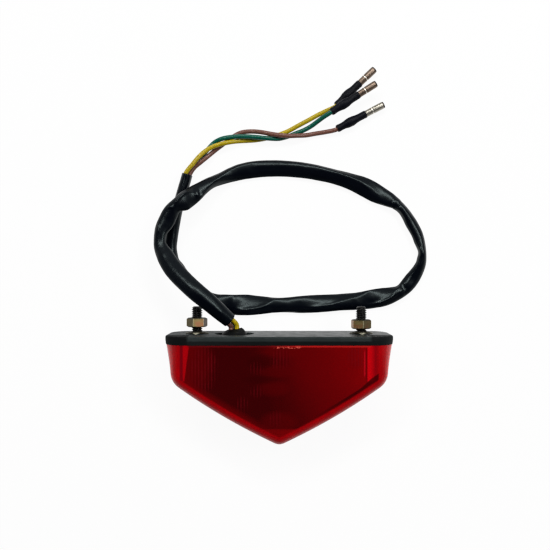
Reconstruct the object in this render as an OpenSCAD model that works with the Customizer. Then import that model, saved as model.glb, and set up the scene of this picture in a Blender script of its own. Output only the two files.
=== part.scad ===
// Tail light with a V-shaped red lens under a black mounting base, two threaded studs with
// nuts, an LED board inside and a three-wire lead in a flattened sleeve.
// It lies on its back: X to the right, Y along the studs, Z up out of the back. Millimetres.

/* [Base] */
// Width of the base, along the line of the studs
base_w = 122; // [114:1:150]
// Depth of the base from back to front
base_d = 40; // [38:0.5:50]
// Thickness of the lip that shows above the lens
lip_t = 4.5; // [3.5:0.1:7]
// Corner radius of the base seen along the studs
base_corner_r = 12; // [9:0.5:14]
// Rounding of the lip's top edge
lip_edge_r = 0.8; // [0.4:0.1:1.5]
// How far the lip stands out past the lens at the sides and the front
lip_overhang = 0.5; // [0.2:0.1:1.2]
// How far the lower half of the lip's edge tapers in
lip_taper = 0.3; // [0:0.1:0.4]
// Length of the skirt that locates the lens from inside
skirt_h = 4; // [2:0.5:6]
// Thickness of the skirt's wall
skirt_t = 2; // [1.2:0.1:3]
// Free play between the skirt and the lens
skirt_play = 0.3; // [0.1:0.05:0.6]

/* [Lens] */
// Height of the lens from its rim to the point of the V, before its rounding
lens_h = 53.5; // [46:0.5:65]
// Drop from the rim to the shoulder where the V begins
shoulder_drop = 19.9; // [15:0.1:22]
// How far each side leans in from the rim to the shoulder
side_lean = 3.3; // [2:0.1:7]
// Wall thickness of the lens
lens_wall = 2.5; // [1.8:0.1:3]
// How far each side of the V bows out between its ends
v_bow = 1.5; // [0.5:0.1:2]
// Rounding of the V's front edges
v_front_r = 5; // [4:0.1:7]
// Rounding of the V's back edges
v_back_r = 3.5; // [3.2:0.1:5]
// Corner radius of the shoulders
shoulder_r = 10; // [8:0.5:13]
// Corner radius of the tip
tip_r = 6; // [5.6:0.1:9]
// Angle at which the front face leans back towards the tip
front_draft = 1.5; // [0:0.1:3]
// Spacing of the upright flutes inside the front face
flute_pitch = 1.7; // [1.6:0.1:3]
// Depth of a flute
flute_depth = 0.35; // [0.2:0.05:0.5]
// Plain border round the fluted panel
flute_border = 4; // [3:0.5:8]

/* [Seal] */
// Width of the sealing strip on the lens rim
seal_w = 1.2; // [0.8:0.1:1.4]
// Thickness of the sealing strip
seal_t = 1.2; // [0.8:0.1:1.6]
// Distance from the outside of the lens to the strip
seal_in = 0.6; // [0.5:0.1:0.8]
// Free play of the strip in its groove
seal_play = 0.05; // [0.02:0.01:0.1]

/* [Studs and nuts] */
// Distance between the two studs
stud_gap = 90; // [84:1:94]
// Diameter of a stud over its thread
stud_d = 6; // [5:0.1:6.4]
// Diameter over the lead thread at the stud's free end
stud_lead_d = 5.6; // [4.6:0.1:5.6]
// Length of the lead thread
stud_lead = 5; // [3:0.1:5.1]
// Chamfer at the end of a stud
stud_chamfer = 0.8; // [0.4:0.1:1.2]
// How far a stud stands out of the base
stud_out = 15; // [14.8:0.1:20]
// Size of a stud's hexagon head across its flats
head_af = 10; // [9:0.1:11]
// Thickness of a stud's head
head_t = 4; // [3:0.1:5]
// Free play of a stud in the base
stud_play = 0.2; // [0.1:0.05:0.4]
// Free play of a stud's head in its pocket
head_play = 0.15; // [0.1:0.05:0.3]
// Wall round a head's pocket
boss_wall = 1.8; // [1.2:0.1:2.5]
// Size of a nut across its flats
nut_af = 10; // [9.6:0.1:11]
// Height of a nut
nut_h = 5; // [4:0.1:5]
// Chamfer at a nut's corners
nut_chamfer = 0.5; // [0.3:0.1:0.8]
// Running clearance of a nut on its stud
nut_play = 0.04; // [0.02:0.01:0.09]
// Height of the left nut above the base as it lies
left_nut_lift = 3.8; // [2.5:0.1:4.3]
// Height of the right nut above the base as it lies
right_nut_lift = 2.8; // [2.5:0.1:4.3]
// Turn of the left nut on its stud
left_nut_turn = 15; // [-30:1:30]
// Turn of the right nut on its stud
right_nut_turn = -25; // [-30:1:30]
// Side of the square spring washer that grips a stud
washer_side = 9.3; // [8.4:0.1:11]
// Thickness of the spring washer
washer_t = 0.8; // [0.6:0.1:1]
// How far the middle of the spring washer is dished up
washer_dish = 0.6; // [0.4:0.1:1]
// Free play of the spring washer on its stud
washer_play = 0.05; // [0.02:0.01:0.1]

/* [Wire outlet] */
// Place of the wire outlet along the base
outlet_x = -24.5; // [-25:0.1:-22]
// Diameter of the round recess about the outlet
recess_d = 21.5; // [20:0.1:22]
// Depth of the recess
recess_t = 1.2; // [0.8:0.1:1.6]
// Diameter of the outlet's hole through the base
outlet_d = 11; // [10:0.1:12]
// Free play of the rubber plug in the outlet
plug_play = 0.1; // [0.05:0.05:0.3]
// Width of the plug's dome
dome_w = 13.4; // [12.4:0.1:15]
// Height of the dome above the base
dome_h = 3.6; // [3:0.1:4]
// Offset of the dome's second hump towards the front
dome_shift = 4; // [2:0.5:5]
// Free play of a wire in the plug
wire_play = 0.05; // [0.03:0.01:0.1]

/* [LED board] */
// Thickness of the board
board_t = 1.6; // [1:0.1:2]
// Height of the board's back face above the back of the light
board_z = 14; // [12:0.5:15]
// Free space between the board's edge and the lens
board_gap = 4; // [3:0.5:6]
// Free space between the board's top edge and the studs' bosses
board_drop = 0.5; // [0.3:0.1:1.5]
// Diameter of an LED's body
led_d = 5; // [4:0.1:5.2]
// Height of an LED
led_h = 8.6; // [7:0.1:10]
// Width of the rim at an LED's foot
led_rim = 0.4; // [0.2:0.05:0.5]
// Spacing of the LEDs along a row
led_pitch = 11; // [10:0.1:11.5]
// Spacing of the rows of LEDs
row_pitch = 10; // [9.5:0.1:10.5]
// Drop from the board's upper edge to the first row
row_drop = 8.5; // [8:0.1:9]
// Spacing of the solder pads
pad_pitch = 3.5; // [3.2:0.1:4.5]
// Diameter of a resistor's body
resistor_d = 2.3; // [1.8:0.1:2.5]
// Length of a resistor's body
resistor_l = 6.3; // [5:0.1:7]
// Diameter of a diode's body
diode_d = 2.7; // [2:0.1:2.8]
// Length of a diode's body
diode_l = 5.2; // [4:0.1:6]
// Diameter of a board screw's shank
screw_d = 2.9; // [2.4:0.1:3.2]
// Length of a board screw's shank
screw_l = 5; // [4:0.1:5.5]
// Diameter of a board screw's head
screw_head_d = 5.6; // [5:0.1:6]
// Height of a board screw's head
screw_head_h = 2; // [1.5:0.1:2.5]
// Free play of a board screw in its holes
screw_play = 0.05; // [0.03:0.01:0.15]
// Distance of a board post from the board's slanting edge, along the line of the studs
post_edge = 6.3; // [5.8:0.1:6.8]
// Width of a board post
post_w = 8; // [7:0.1:9]
// Thickness of a board post
post_t = 5; // [4.2:0.1:6]

/* [Wires and terminals] */
// Diameter of a wire over its insulation
wire_d = 2.6; // [2.2:0.05:2.65]
// Length of a terminal's rubber boot
boot_l = 18.5; // [16:0.5:20]
// Diameter of a boot at the wire's end
boot_wire_d = 4.3; // [4.2:0.1:4.6]
// Diameter of a boot over the crimp
boot_mid_d = 5.5; // [4.8:0.1:5.5]
// Diameter of a boot at the terminal's end
boot_end_d = 4.4; // [4:0.1:4.6]
// How far a wire reaches into its boot
wire_grip = 8; // [6:0.5:9]
// Diameter of a bullet terminal
bullet_d = 3.9; // [3.5:0.1:4]
// Length of a bullet terminal that shows
bullet_l = 11.5; // [10.5:0.1:12.5]
// Diameter of a bullet's neck
bullet_neck_d = 3.5; // [3.2:0.1:3.5]
// Length of a bullet's neck
bullet_neck = 3; // [2:0.1:4]
// Diameter of a terminal's crimp inside its boot
crimp_d = 2.9; // [2.5:0.1:3]
// Rounding of a bullet's nose
bullet_nose_r = 1; // [0.6:0.1:1.4]
// Free play of the wire and the crimp in a boot
boot_play = 0.05; // [0.03:0.01:0.1]
// Space between a wire's end and the mouth of the sleeve
mouth_gap = 0.3; // [0.2:0.05:0.6]

/* [Hidden] */
$fn = 48;

// Levels along the studs
base_top = 21;
rim_y = base_top - lip_t;
tip_y = rim_y - lens_h;
shoulder_y = rim_y - shoulder_drop;
stud_end = base_top + stud_out;
stud_z = base_d / 2;

// Lens outline: half widths at the rim and the shoulder, depth, the walls' inward normals, and
// the headings of the V's bowed side where it leaves the shoulder and where it meets the tip
rim_hw = base_w / 2 - lip_overhang;
lens_d = base_d - lip_overhang;
rim_r = base_corner_r - lip_overhang;
shoulder_hw = rim_hw - side_lean;
side_dir = unit([-side_lean, -shoulder_drop]);
side_in = [side_dir[1], -side_dir[0]];
v_dir = unit([-shoulder_hw, tip_y - shoulder_y]);
v_in = [v_dir[1], -v_dir[0]];
bow_turn = atan(4 * v_bow / norm([shoulder_hw, tip_y - shoulder_y]));
v_start = turned(v_dir, bow_turn);
v_start_in = [v_start[1], -v_start[0]];
v_end = turned(v_dir, -bow_turn);
lean_slope = side_lean / shoulder_drop;
draft_k = tan(front_draft) / lens_d;

// Levels through the lens: fine steps where the edges turn, none in the straight part
turn_steps = [90, 82, 74, 66, 57, 46, 32, 16, 0];

// How far a flute is rooted in the lens wall
flute_sink = 0.3;

// Board, LEDs and posts
boss_h = head_t + 1;
board_top = rim_y - boss_h - board_drop;
board_front = board_z + board_t;
row_y = board_top - row_drop;
screw_y = row_y - row_pitch / 2;
pad_y = board_top - 2.5;
post_x = ((screw_y - tip_y) * v_in[1] - lens_wall - board_gap) / -v_in[0] - post_edge;

// Nut and washer corners
boss_d = (head_af / 2 + head_play) / cos(30) * 2 + 2 * boss_wall;

// Wires where they pass through the outlet: side offset and depth offset from its middle
brown_hole = [-1.8, 1.6];
yellow_hole = [1.5, 1.6];
green_hole = [0.5, -1.9];

// Route of the sleeve: x, y and clear height under it at each station
sleeve_route = [
    [-27, 28.5, 19.5], [-33, 34, 22.6], [-38.5, 39, 24.3], [-44.5, 44, 24.2], [-51.5, 50, 21.6],
    [-58, 56.5, 18], [-63, 63.5, 14], [-66.5, 71, 10.5], [-66.5, 78, 9.8], [-63.5, 84.5, 9.8],
    [-58.5, 92, 9.8], [-53.5, 96, 9.4], [-48, 99, 6], [-37, 106, 1.5], [-28, 110, 0],
    [-16, 113.5, 0], [-4, 114.5, 0], [10, 114, 0], [25.5, 111.5, 0], [37, 108, 0], [47, 104.5, 0],
    [57.5, 99.5, 0], [68.9, 92.7, 0], [75.5, 82.7, 0], [80.5, 72.5, 0], [82, 64.4, 0],
    [78.9, 55.2, 0], [73.8, 47.1, 0], [65.1, 41.5, 0], [52.5, 39.2, 0], [34, 37.6, 0], [12.5, 36.6, 0],
    [-4, 35.7, 0], [-17.5, 36, 0], [-27.5, 36, 0], [-37, 38.5, 0], [-45, 44, 0], [-52.5, 51, 0],
    [-58.5, 59.5, 0], [-61, 67.5, 0], [-60.5, 75, 0], [-59.5, 83, 0], [-58, 90, 0], [-56, 97, 0],
    [-54, 103.5, 0], [-52, 110.5, 0]
];

// Form of the sleeve: station, reach to the left, reach to the right, height, lean
sleeve_form = [
    [0, 4, 4, 7, 0], [1, 4.5, 4.6, 6.2, 0.05], [2, 4.9, 4.9, 5.2, 0.1], [3, 5.1, 4.9, 5, 0.12],
    [4, 5.1, 5.1, 4.8, 0.12], [5, 5.2, 5.2, 4.8, 0.1], [6, 4.8, 4.9, 5.2, 0.05],
    [6.5, 4.3, 4.2, 5.6, 0], [7, 3.6, 3.4, 6.2, 0], [7.5, 3.1, 3.7, 6.4, 0], [8, 3.1, 4.6, 6.4, 0],
    [8.5, 3.5, 5.5, 6.2, 0], [9, 3.8, 5.8, 6, 0], [9.5, 3.9, 5.2, 6, 0], [9.8, 3.5, 4.4, 6.2, 0],
    [10.2, 3, 5, 6.2, 0], [10.5, 3.3, 6.5, 6, 0], [11, 3.8, 6.8, 5.6, 0], [11.5, 4.4, 6.3, 5.4, 0],
    [12, 4.9, 5.2, 5.6, -0.05], [12.25, 5, 4.5, 6, -0.1], [12.5, 4.7, 3.5, 6.6, -0.1],
    [12.75, 4.3, 2.8, 7.4, 0], [13, 3.8, 2.8, 8, 0.1], [13.5, 3.7, 3.3, 7.6, 0.15],
    [14, 4.4, 3.7, 6.8, 0.15], [14.5, 4.9, 4.3, 6, 0.1], [15, 4.9, 4.9, 5.4, 0.05],
    [16, 4.7, 4.9, 5.2, 0], [17, 4.4, 4.9, 5.4, 0], [18, 4, 4.7, 5.8, 0], [18.5, 4.1, 4.4, 6, 0],
    [19, 4.7, 4.3, 5.8, 0], [19.5, 5.1, 4.7, 5.2, 0], [20, 5.6, 5.3, 4.6, 0],
    [20.4, 5.7, 5.7, 4.2, 0], [20.75, 5.4, 5.9, 4.4, 0], [21, 5.1, 5.6, 4.8, 0],
    [21.5, 4.1, 4.6, 6.2, 0], [21.75, 3.2, 3.8, 7.4, 0], [22, 2.9, 3.2, 8.2, 0],
    [22.25, 3, 2.8, 8.6, 0], [22.5, 3.4, 2.7, 8.4, 0], [23, 4, 3.1, 7.8, 0],
    [23.5, 3.9, 2.9, 7.8, 0], [24, 3.3, 3.1, 8.2, 0], [24.5, 2.8, 2.4, 8.8, 0],
    [24.75, 2.5, 2.1, 9.2, 0], [25, 2.6, 2.5, 9, 0], [25.25, 3, 2.7, 8.6, 0],
    [25.5, 3.6, 2.4, 8.4, 0], [26, 4.1, 3.3, 7.4, 0], [26.5, 4.1, 4.4, 6.6, 0.05],
    [27, 3.9, 4.4, 6.8, 0.1], [27.5, 3.9, 3.5, 7.2, 0.15], [28, 4.2, 5.1, 5.6, 0.15],
    [28.5, 5.1, 5.8, 4.4, 0.1], [29, 5.5, 5.5, 4.2, 0.08], [29.5, 5.2, 4.8, 4.8, 0.08],
    [30, 4.9, 4.7, 5.2, 0.1], [30.5, 5.4, 4.9, 4.8, 0.1], [31, 5.4, 4.6, 5, 0.08],
    [31.5, 4.4, 4.3, 6, 0.05], [31.75, 4.1, 4.3, 6.2, 0.05], [32, 4.3, 4.6, 5.8, 0.05],
    [32.3, 4.9, 5.2, 5, 0.08], [32.6, 5.5, 5.5, 4.2, 0.1], [33, 6, 6, 3.8, 0.1],
    [33.5, 5.9, 6.2, 3.8, 0.05], [34, 5.5, 6.1, 4.2, 0], [34.5, 5, 5.4, 5, 0],
    [35, 4.4, 4.1, 6.4, 0], [35.5, 3.8, 3.1, 7.6, 0], [36, 3.5, 3.1, 8, 0], [37, 3.4, 3.1, 8.2, 0],
    [37.8, 3.3, 3.4, 8.2, 0], [38.25, 3.8, 2.1, 8, 0], [38.6, 4.6, 2.5, 7.2, 0],
    [39.5, 4.9, 2.6, 7, 0], [40.4, 4.6, 2.8, 7.2, 0], [41, 3.8, 3, 7.8, 0],
    [42, 3.3, 2.8, 8.4, 0], [43, 3.5, 2.8, 8.6, 0],
    [44, 3.6, 2.7, 8.6, 0], [45, 3.4, 2.6, 8.6, 0]
];
sleeve_sides = 16;

// Routes of the wires between the sleeve and their boots
yellow_tail = [
    [-48.9, 116.3, 6.3], [-45.8, 120.3, 5.5], [-42.5, 123.5, 4.7], [-38.8, 125.9, 4.4],
    [-34.5, 127.6, 4.2], [-29.4, 128.9, 4], [-24.2, 129.9, 2.55], [-18.9, 130.4, 1.5],
    [-13.5, 130.8, 1.32], [-8.4, 131.6, 1.32], [-3.4, 132.8, 1.32], [0.6, 134.1, 1.32],
    [5.2, 135.9, 1.32], [10.3, 138.7, 1.32], [16.7, 142.1, 1.4], [23.2, 145.6, 1.6],
    [27.6, 147.6, 2.1]
];
green_tail = [
    [-48.9, 115.9, 1.35], [-45.8, 119.7, 1.32], [-42.8, 123.1, 1.32], [-40.2, 126.3, 1.32],
    [-37.1, 129.4, 1.5], [-32.8, 131.2, 3.2], [-28.4, 131.9, 4.1], [-23.4, 132.3, 4.15],
    [-17.7, 132.3, 4.15], [-12.3, 131.9, 4.15], [-7.4, 131.4, 4.1], [-3.1, 131.2, 3.5],
    [0, 131.3, 2.95], [2.9, 132.1, 1.9], [6.1, 133.2, 1.32], [9.5, 134.6, 1.32],
    [13.9, 136.3, 1.4], [18.2, 138.5, 1.9], [22.2, 141.1, 3.6], [25.4, 143.1, 5.7]
];
brown_tail = [
    [-48.3, 114.7, 3.9], [-45.2, 117.4, 3.6], [-41.8, 120.3, 3], [-38.5, 123.3, 1.9],
    [-35.3, 126, 1.35], [-31.3, 129, 1.32], [-27.9, 131.6, 1.32], [-24.7, 133.8, 1.32],
    [-21.8, 135.1, 1.32], [-18.5, 135.6, 1.6], [-14.2, 135.5, 2.6], [-9.1, 134.6, 4.4],
    [-4.1, 133.5, 5.3], [0.6, 132.8, 5.5], [5.2, 132.5, 4.9], [10.2, 132.9, 3.7],
    [15.3, 133.4, 2.2], [21, 134.5, 1.5], [27, 135.4, 1.9]
];

// Place of each boot's wire end and its heading on the table
boot_z = boot_mid_d / 2 + 0.02;
boot_stack = boot_mid_d - 1.1;
yellow_boot_at = [33, 150.5, boot_z];
yellow_heading = 43.5;
green_boot_at = [29.7, 145.6, boot_z + boot_stack];
green_heading = 32.5;
brown_boot_at = [33.4, 137, boot_z];
brown_heading = 27.5;

function unit(v) = v / norm(v);

// Heading v turned by a degrees
function turned(v, a) = [v[0] * cos(a) - v[1] * sin(a), v[0] * sin(a) + v[1] * cos(a)];

// Place on the other side of the middle
function mirrored(p) = [-p[0], p[1]];

// List from its last entry to its first
function reversed(v) = [for (i = [len(v) - 1:-1:0]) v[i]];

// Inset of a rounded edge at depth z of a slab d deep with front radius f and back radius b
function edge_in(z, d, f, b) =
    z > d - f ? f - sqrt(max(0, f * f - (z - d + f) * (z - d + f)))
    : z < b ? b - sqrt(max(0, b * b - (b - z) * (b - z)))
    : 0;

// Points of a round corner of radius r at p, between the edges to a and b
function corner(a, p, b, r, n) =
    let (
        u = unit(a - p),
        w = unit(b - p),
        h = acos(u * w) / 2,
        c = p + unit(u + w) * r / sin(h),
        s = p + u * r / tan(h) - c,
        e = p + w * r / tan(h) - c,
        a0 = atan2(s[1], s[0]),
        turn = atan2(e[1], e[0]) - a0,
        sweep = turn > 180 ? turn - 360 : turn < -180 ? turn + 360 : turn
    )
    [for (i = [0:n]) c + r * [cos(a0 + sweep * i / n), sin(a0 + sweep * i / n)]];

// Points of the V's bowed side, between a at the shoulder and b at the tip
function bowed(a, b, n) =
    let (c = a + v_start * cross(b - a, v_end) / cross(v_start, v_end))
    [for (i = [1:n - 1]) let (u = i / n)
        a * (1 - u) * (1 - u) + c * 2 * u * (1 - u) + b * u * u];

// Outline of the lens at depth z, w inside its outer face, with its top edge at y_cut
function lens_outline(z, w, y_cut) =
    let (
        side = edge_in(z - w, lens_d - 2 * w, rim_r - w, rim_r - w),
        edge = edge_in(z - w, lens_d - 2 * w, v_front_r - w, v_back_r - w) + w,
        cut_hw = rim_hw - w / -side_in[0] - side - (rim_y - y_cut) * lean_slope,
        s = [shoulder_hw, shoulder_y]
            + edge * (side_in + v_start_in) / (1 + side_in * v_start_in),
        t = [0, tip_y - edge / v_end[0]],
        top = [cut_hw, y_cut],
        shoulder = corner(s + v_start, s, top, shoulder_r - edge, 7),
        tip = corner(t + [v_end[0], -v_end[1]], t, t - v_end, max(0.5, tip_r - edge), 6),
        half = concat(reversed(bowed(shoulder[0], tip[6], 8)), shoulder)
    )
    concat([top, mirrored(top)], [for (p = reversed(half)) mirrored(p)], tip, half);

// Depths of the lens sections, w inside its outer face
function lens_depths(w) =
    let (r = rim_r - w, d = lens_d - w)
    concat(
        [for (a = turn_steps) w + r * (1 - sin(a))],
        [for (i = [len(turn_steps) - 1:-1:0]) d - r * (1 - sin(turn_steps[i]))]
    );

// Depth after the front face's lean
function drafted(z, y) = z * (1 - draft_k * (rim_y - y));

// Closed skin through rings of n points, each counted about the way the rings advance
module skin(rings) {
    n = len(rings[0]);
    m = len(rings);
    e = (m - 1) * n;
    polyhedron(
        points = [for (r = rings) each r],
        faces = concat(
            [for (j = [0:m - 2], i = [0:n - 1])
                [j * n + i, (j + 1) * n + i, j * n + (i + 1) % n]],
            [for (j = [0:m - 2], i = [0:n - 1])
                [j * n + (i + 1) % n, (j + 1) * n + i, (j + 1) * n + (i + 1) % n]],
            [for (i = [1:n - 2]) [0, i, i + 1]],
            [for (i = [1:n - 2]) [e, e + i + 1, e + i]]
        )
    );
}

// Sections of the lens, w inside its outer face, from back to front
function lens_sections(w) = [
    for (z = lens_depths(w))
        [for (p = lens_outline(z, w, rim_y)) [p[0], p[1], drafted(z, p[1])]]
];

// Cup of the lens: outer and inner skins through their sections, joined along the open rim
module lens_cup() {
    outer = lens_sections(0);
    inner = lens_sections(lens_wall);
    n = len(outer[0]);
    m = len(outer);
    k = m * n;
    e = (m - 1) * n;
    polyhedron(
        points = concat([for (r = outer) each r], [for (r = inner) each r]),
        faces = concat(
            // Outer wall and inner wall, without the open top
            [for (j = [0:m - 2], i = [1:n - 1])
                [j * n + i, (j + 1) * n + i, j * n + (i + 1) % n]],
            [for (j = [0:m - 2], i = [1:n - 1])
                [j * n + (i + 1) % n, (j + 1) * n + i, (j + 1) * n + (i + 1) % n]],
            [for (j = [0:m - 2], i = [1:n - 1])
                [k + j * n + i, k + j * n + (i + 1) % n, k + (j + 1) * n + i]],
            [for (j = [0:m - 2], i = [1:n - 1])
                [k + j * n + (i + 1) % n, k + (j + 1) * n + (i + 1) % n, k + (j + 1) * n + i]],
            // Back and front faces, outside and inside
            [for (i = [1:n - 2]) [0, i, i + 1]],
            [for (i = [1:n - 2]) [e, e + i + 1, e + i]],
            [for (i = [1:n - 2]) [k, k + i + 1, k + i]],
            [for (i = [1:n - 2]) [k + e, k + e + i, k + e + i + 1]],
            // Rim at the right, the left, the back and the front
            [for (j = [0:m - 2]) each [
                [(j + 1) * n, k + j * n, j * n],
                [(j + 1) * n, k + (j + 1) * n, k + j * n],
                [j * n + 1, k + j * n + 1, (j + 1) * n + 1],
                [(j + 1) * n + 1, k + j * n + 1, k + (j + 1) * n + 1]
            ]],
            [[0, k + 1, 1], [0, k, k + 1]],
            [[e + 1, k + e, e], [e + 1, k + e + 1, k + e]]
        )
    );
}

// Rounded outline seen along the studs: half width, back, front and corner radius
function plan(hw, z0, z1, r) =
    [for (q = [0:3], i = [0:10])
        let (a = 90 * q + 9 * i)
        [(q == 0 || q == 3 ? hw - r : r - hw) + r * cos(a),
         (q < 2 ? z1 - r : z0 + r) + r * sin(a)]];

// Outline of the lens rim, i inside its outer face
function rim_plan(i) = plan(rim_hw - i, i, lens_d - i, rim_r - i);

// Plate along the studs from y0 up to y1, with its outline in X and Z
module plate(y0, y1) {
    translate([0, y1, 0]) rotate([90, 0, 0]) linear_extrude(y1 - y0) children();
}

// Round bar along the studs from y0 up to y1
module bar(x, z, y0, y1, d) {
    translate([x, y0, z]) rotate([-90, 0, 0]) cylinder(d = d, h = y1 - y0);
}

// Hexagon bar along the studs, with a flat towards the front at turn 0
module hex_bar(x, z, y0, y1, af, turn) {
    translate([x, y0, z])
        rotate([-90, 0, 0])
            rotate([0, 0, turn])
                cylinder(d = af / cos(30), h = y1 - y0, $fn = 6);
}

// Ring of the lip, i inside its widest outline at height y
function lip_ring(i, y) =
    [for (p = plan(base_w / 2 - i, max(0, i - lip_taper), base_d - i, base_corner_r - i))
        [p[0], y, p[1]]];

module mounting_base() {
    skirt_at = lens_wall + skirt_play + skirt_h * lean_slope;
    color([0.14, 0.16, 0.17])
    difference() {
        union() {
            // Lip with a rounded top edge and a slight taper under its middle
            skin([
                for (a = [90:-22.5:0])
                    lip_ring(lip_edge_r * (1 - cos(a)),
                             base_top - lip_edge_r * (1 - sin(a))),
                lip_ring(0, rim_y + lip_t / 2),
                lip_ring(lip_taper, rim_y)
            ]);
            // Skirt inside the lens rim
            plate(rim_y - skirt_h, rim_y + lip_t / 4) difference() {
                polygon(rim_plan(skirt_at));
                polygon(rim_plan(skirt_at + skirt_t));
            }
            for (s = [-1, 1]) {
                // Boss round a stud's head
                bar(s * stud_gap / 2, stud_z, rim_y - boss_h, rim_y + lip_t / 4, boss_d);
                // Post behind the board
                translate([s * post_x - post_w / 2, screw_y - post_w / 2, board_z - post_t])
                    cube([post_w, rim_y + lip_t / 4 - screw_y + post_w / 2, post_t]);
            }
        }
        // Groove for the sealing strip
        plate(rim_y - 1, rim_y + seal_t) difference() {
            polygon(rim_plan(seal_in - seal_play));
            polygon(rim_plan(seal_in + seal_w + seal_play));
        }
        for (s = [-1, 1]) {
            bar(s * stud_gap / 2, stud_z, rim_y - 1, base_top + 1, stud_d + 2 * stud_play);
            hex_bar(s * stud_gap / 2, stud_z, rim_y - boss_h - 1, rim_y,
                    head_af + 2 * head_play, 0);
            translate([s * post_x, screw_y, board_z - screw_l])
                cylinder(d = screw_d + 2 * screw_play, h = screw_l + 1);
        }
        // Wire outlet in its recess
        bar(outlet_x, stud_z, rim_y - 1, base_top + 1, outlet_d);
        bar(outlet_x, stud_z, base_top - recess_t, base_top + 1, recess_d);
    }
}

module lens() {
    // Section of a flute: a low arch, sunk a little into the wall behind it
    half = flute_pitch * 0.46;
    arch = [
        [-0.8 * half, flute_sink], [-half, flute_sink / 5], [-half / 2, -0.75 * flute_depth],
        [0, -flute_depth], [half / 2, -0.75 * flute_depth], [half, flute_sink / 5],
        [0.8 * half, flute_sink]
    ];
    inner_z = lens_d - lens_wall;
    panel_hw = rim_hw - rim_r - flute_border / 2;
    flutes = floor(panel_hw / flute_pitch);
    y_up = rim_y - skirt_h - flute_border / 2;
    color([0.62, 0.02, 0.05])
    union() {
        lens_cup();
        // Upright flutes on the inside of the front face, down to the border along the V
        for (i = [-flutes:flutes]) {
            x = i * flute_pitch;
            y_low = tip_y - (lens_wall + v_front_r + flute_border) / v_dir[0]
                - abs(x) * v_dir[1] / -v_dir[0];
            hull() {
                for (y = [y_low, y_up])
                    translate([x, y, drafted(inner_z, y)])
                        rotate([90, 0, 0])
                            linear_extrude(0.05) polygon(arch);
            }
        }
    }
}

module lens_seal() {
    color([0.1, 0.1, 0.1])
    plate(rim_y, rim_y + seal_t) difference() {
        polygon(rim_plan(seal_in));
        polygon(rim_plan(seal_in + seal_w));
    }
}

// Hexagon-head bolt whose shank is the stud, at x
module stud_bolt(x) {
    color([0.07, 0.07, 0.08])
    translate([x, 0, stud_z]) {
        hex_bar(0, 0, rim_y - head_t, rim_y, head_af, 0);
        rotate([-90, 0, 0]) rotate_extrude() polygon([
            [0, rim_y - head_t / 2], [stud_d / 2, rim_y - head_t / 2],
            [stud_d / 2, stud_end - stud_chamfer - stud_lead],
            [stud_lead_d / 2, stud_end - stud_chamfer - stud_lead],
            [stud_lead_d / 2, stud_end - stud_chamfer],
            [stud_lead_d / 2 - stud_chamfer, stud_end], [0, stud_end]
        ]);
    }
}

module left_stud_bolt() { stud_bolt(-stud_gap / 2); }

module right_stud_bolt() { stud_bolt(stud_gap / 2); }

// Square spring washer pressed on a stud, dished up in the middle, a corner to the front
module spring_washer(x) {
    hole_r = stud_d / 2 + washer_play;
    reach = washer_side / sqrt(2);
    rise = washer_dish / (reach - hole_r);
    color([0.6, 0.53, 0.34])
    translate([x, base_top, stud_z])
        intersection() {
            rotate([-90, 0, 0]) rotate_extrude() polygon([
                [hole_r, washer_dish], [reach + 1, -rise],
                [reach + 1, washer_t - rise], [hole_r, washer_dish + washer_t]
            ]);
            translate([0, -1, 0])
                rotate([0, 45, 0])
                    translate([-washer_side / 2, 0, -washer_side / 2])
                        cube([washer_side, washer_t + washer_dish + 2, washer_side]);
        }
}

module left_spring_washer() { spring_washer(-stud_gap / 2); }

module right_spring_washer() { spring_washer(stud_gap / 2); }

// Hexagon nut with chamfered corners on a stud
module hex_nut(x, lift, turn) {
    corner_r = nut_af / 2 / cos(30);
    y0 = base_top + lift;
    color([0.62, 0.55, 0.36])
    difference() {
        intersection() {
            hex_bar(x, stud_z, y0, y0 + nut_h, nut_af, turn);
            translate([x, y0, stud_z]) rotate([-90, 0, 0]) rotate_extrude() polygon([
                [0, 0], [corner_r - 2 * nut_chamfer, 0], [corner_r + 0.2, nut_chamfer],
                [corner_r + 0.2, nut_h - nut_chamfer],
                [corner_r - 2 * nut_chamfer, nut_h], [0, nut_h]
            ]);
        }
        bar(x, stud_z, y0 - 1, y0 + nut_h + 1, stud_d + 2 * nut_play);
    }
}

module left_nut() { hex_nut(-stud_gap / 2, left_nut_lift, left_nut_turn); }

module right_nut() { hex_nut(stud_gap / 2, right_nut_lift, right_nut_turn); }

// Rubber plug in the outlet, with a two-humped dome over the recess
module wire_grommet() {
    floor_y = base_top - recess_t;
    dome_t = recess_t + dome_h;
    dome_r = dome_w / 2;
    cap_r = (dome_r * dome_r + dome_t * dome_t) / (2 * dome_t);
    color([0.11, 0.12, 0.12])
    difference() {
        union() {
            hull() {
                for (dz = [-dome_shift / 2, dome_shift])
                    translate([outlet_x, floor_y, stud_z + dz])
                        rotate([-90, 0, 0])
                            intersection() {
                                translate([0, 0, dome_t - cap_r]) sphere(r = cap_r, $fn = 40);
                                cylinder(r = dome_r, h = dome_t, $fn = 40);
                            }
            }
            bar(outlet_x, stud_z, rim_y, floor_y + 0.5, outlet_d - 2 * plug_play);
        }
        for (h = [brown_hole, yellow_hole, green_hole])
            bar(outlet_x + h[0], stud_z + h[1], rim_y - 1, base_top + dome_h + 1,
                wire_d + 2 * wire_play);
    }
}

// Outline of the board: the lens outline at the board's depth, set in from its wall
module led_board() {
    color([0.5, 0.5, 0.47])
    difference() {
        translate([0, 0, board_z]) linear_extrude(board_t)
            polygon(lens_outline(lens_d / 2, lens_wall + board_gap, board_top));
        for (s = [-1, 1])
            translate([s * post_x, screw_y, board_z - 1])
                cylinder(d = screw_d + 2 * screw_play, h = board_t + 2);
    }
}

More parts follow.
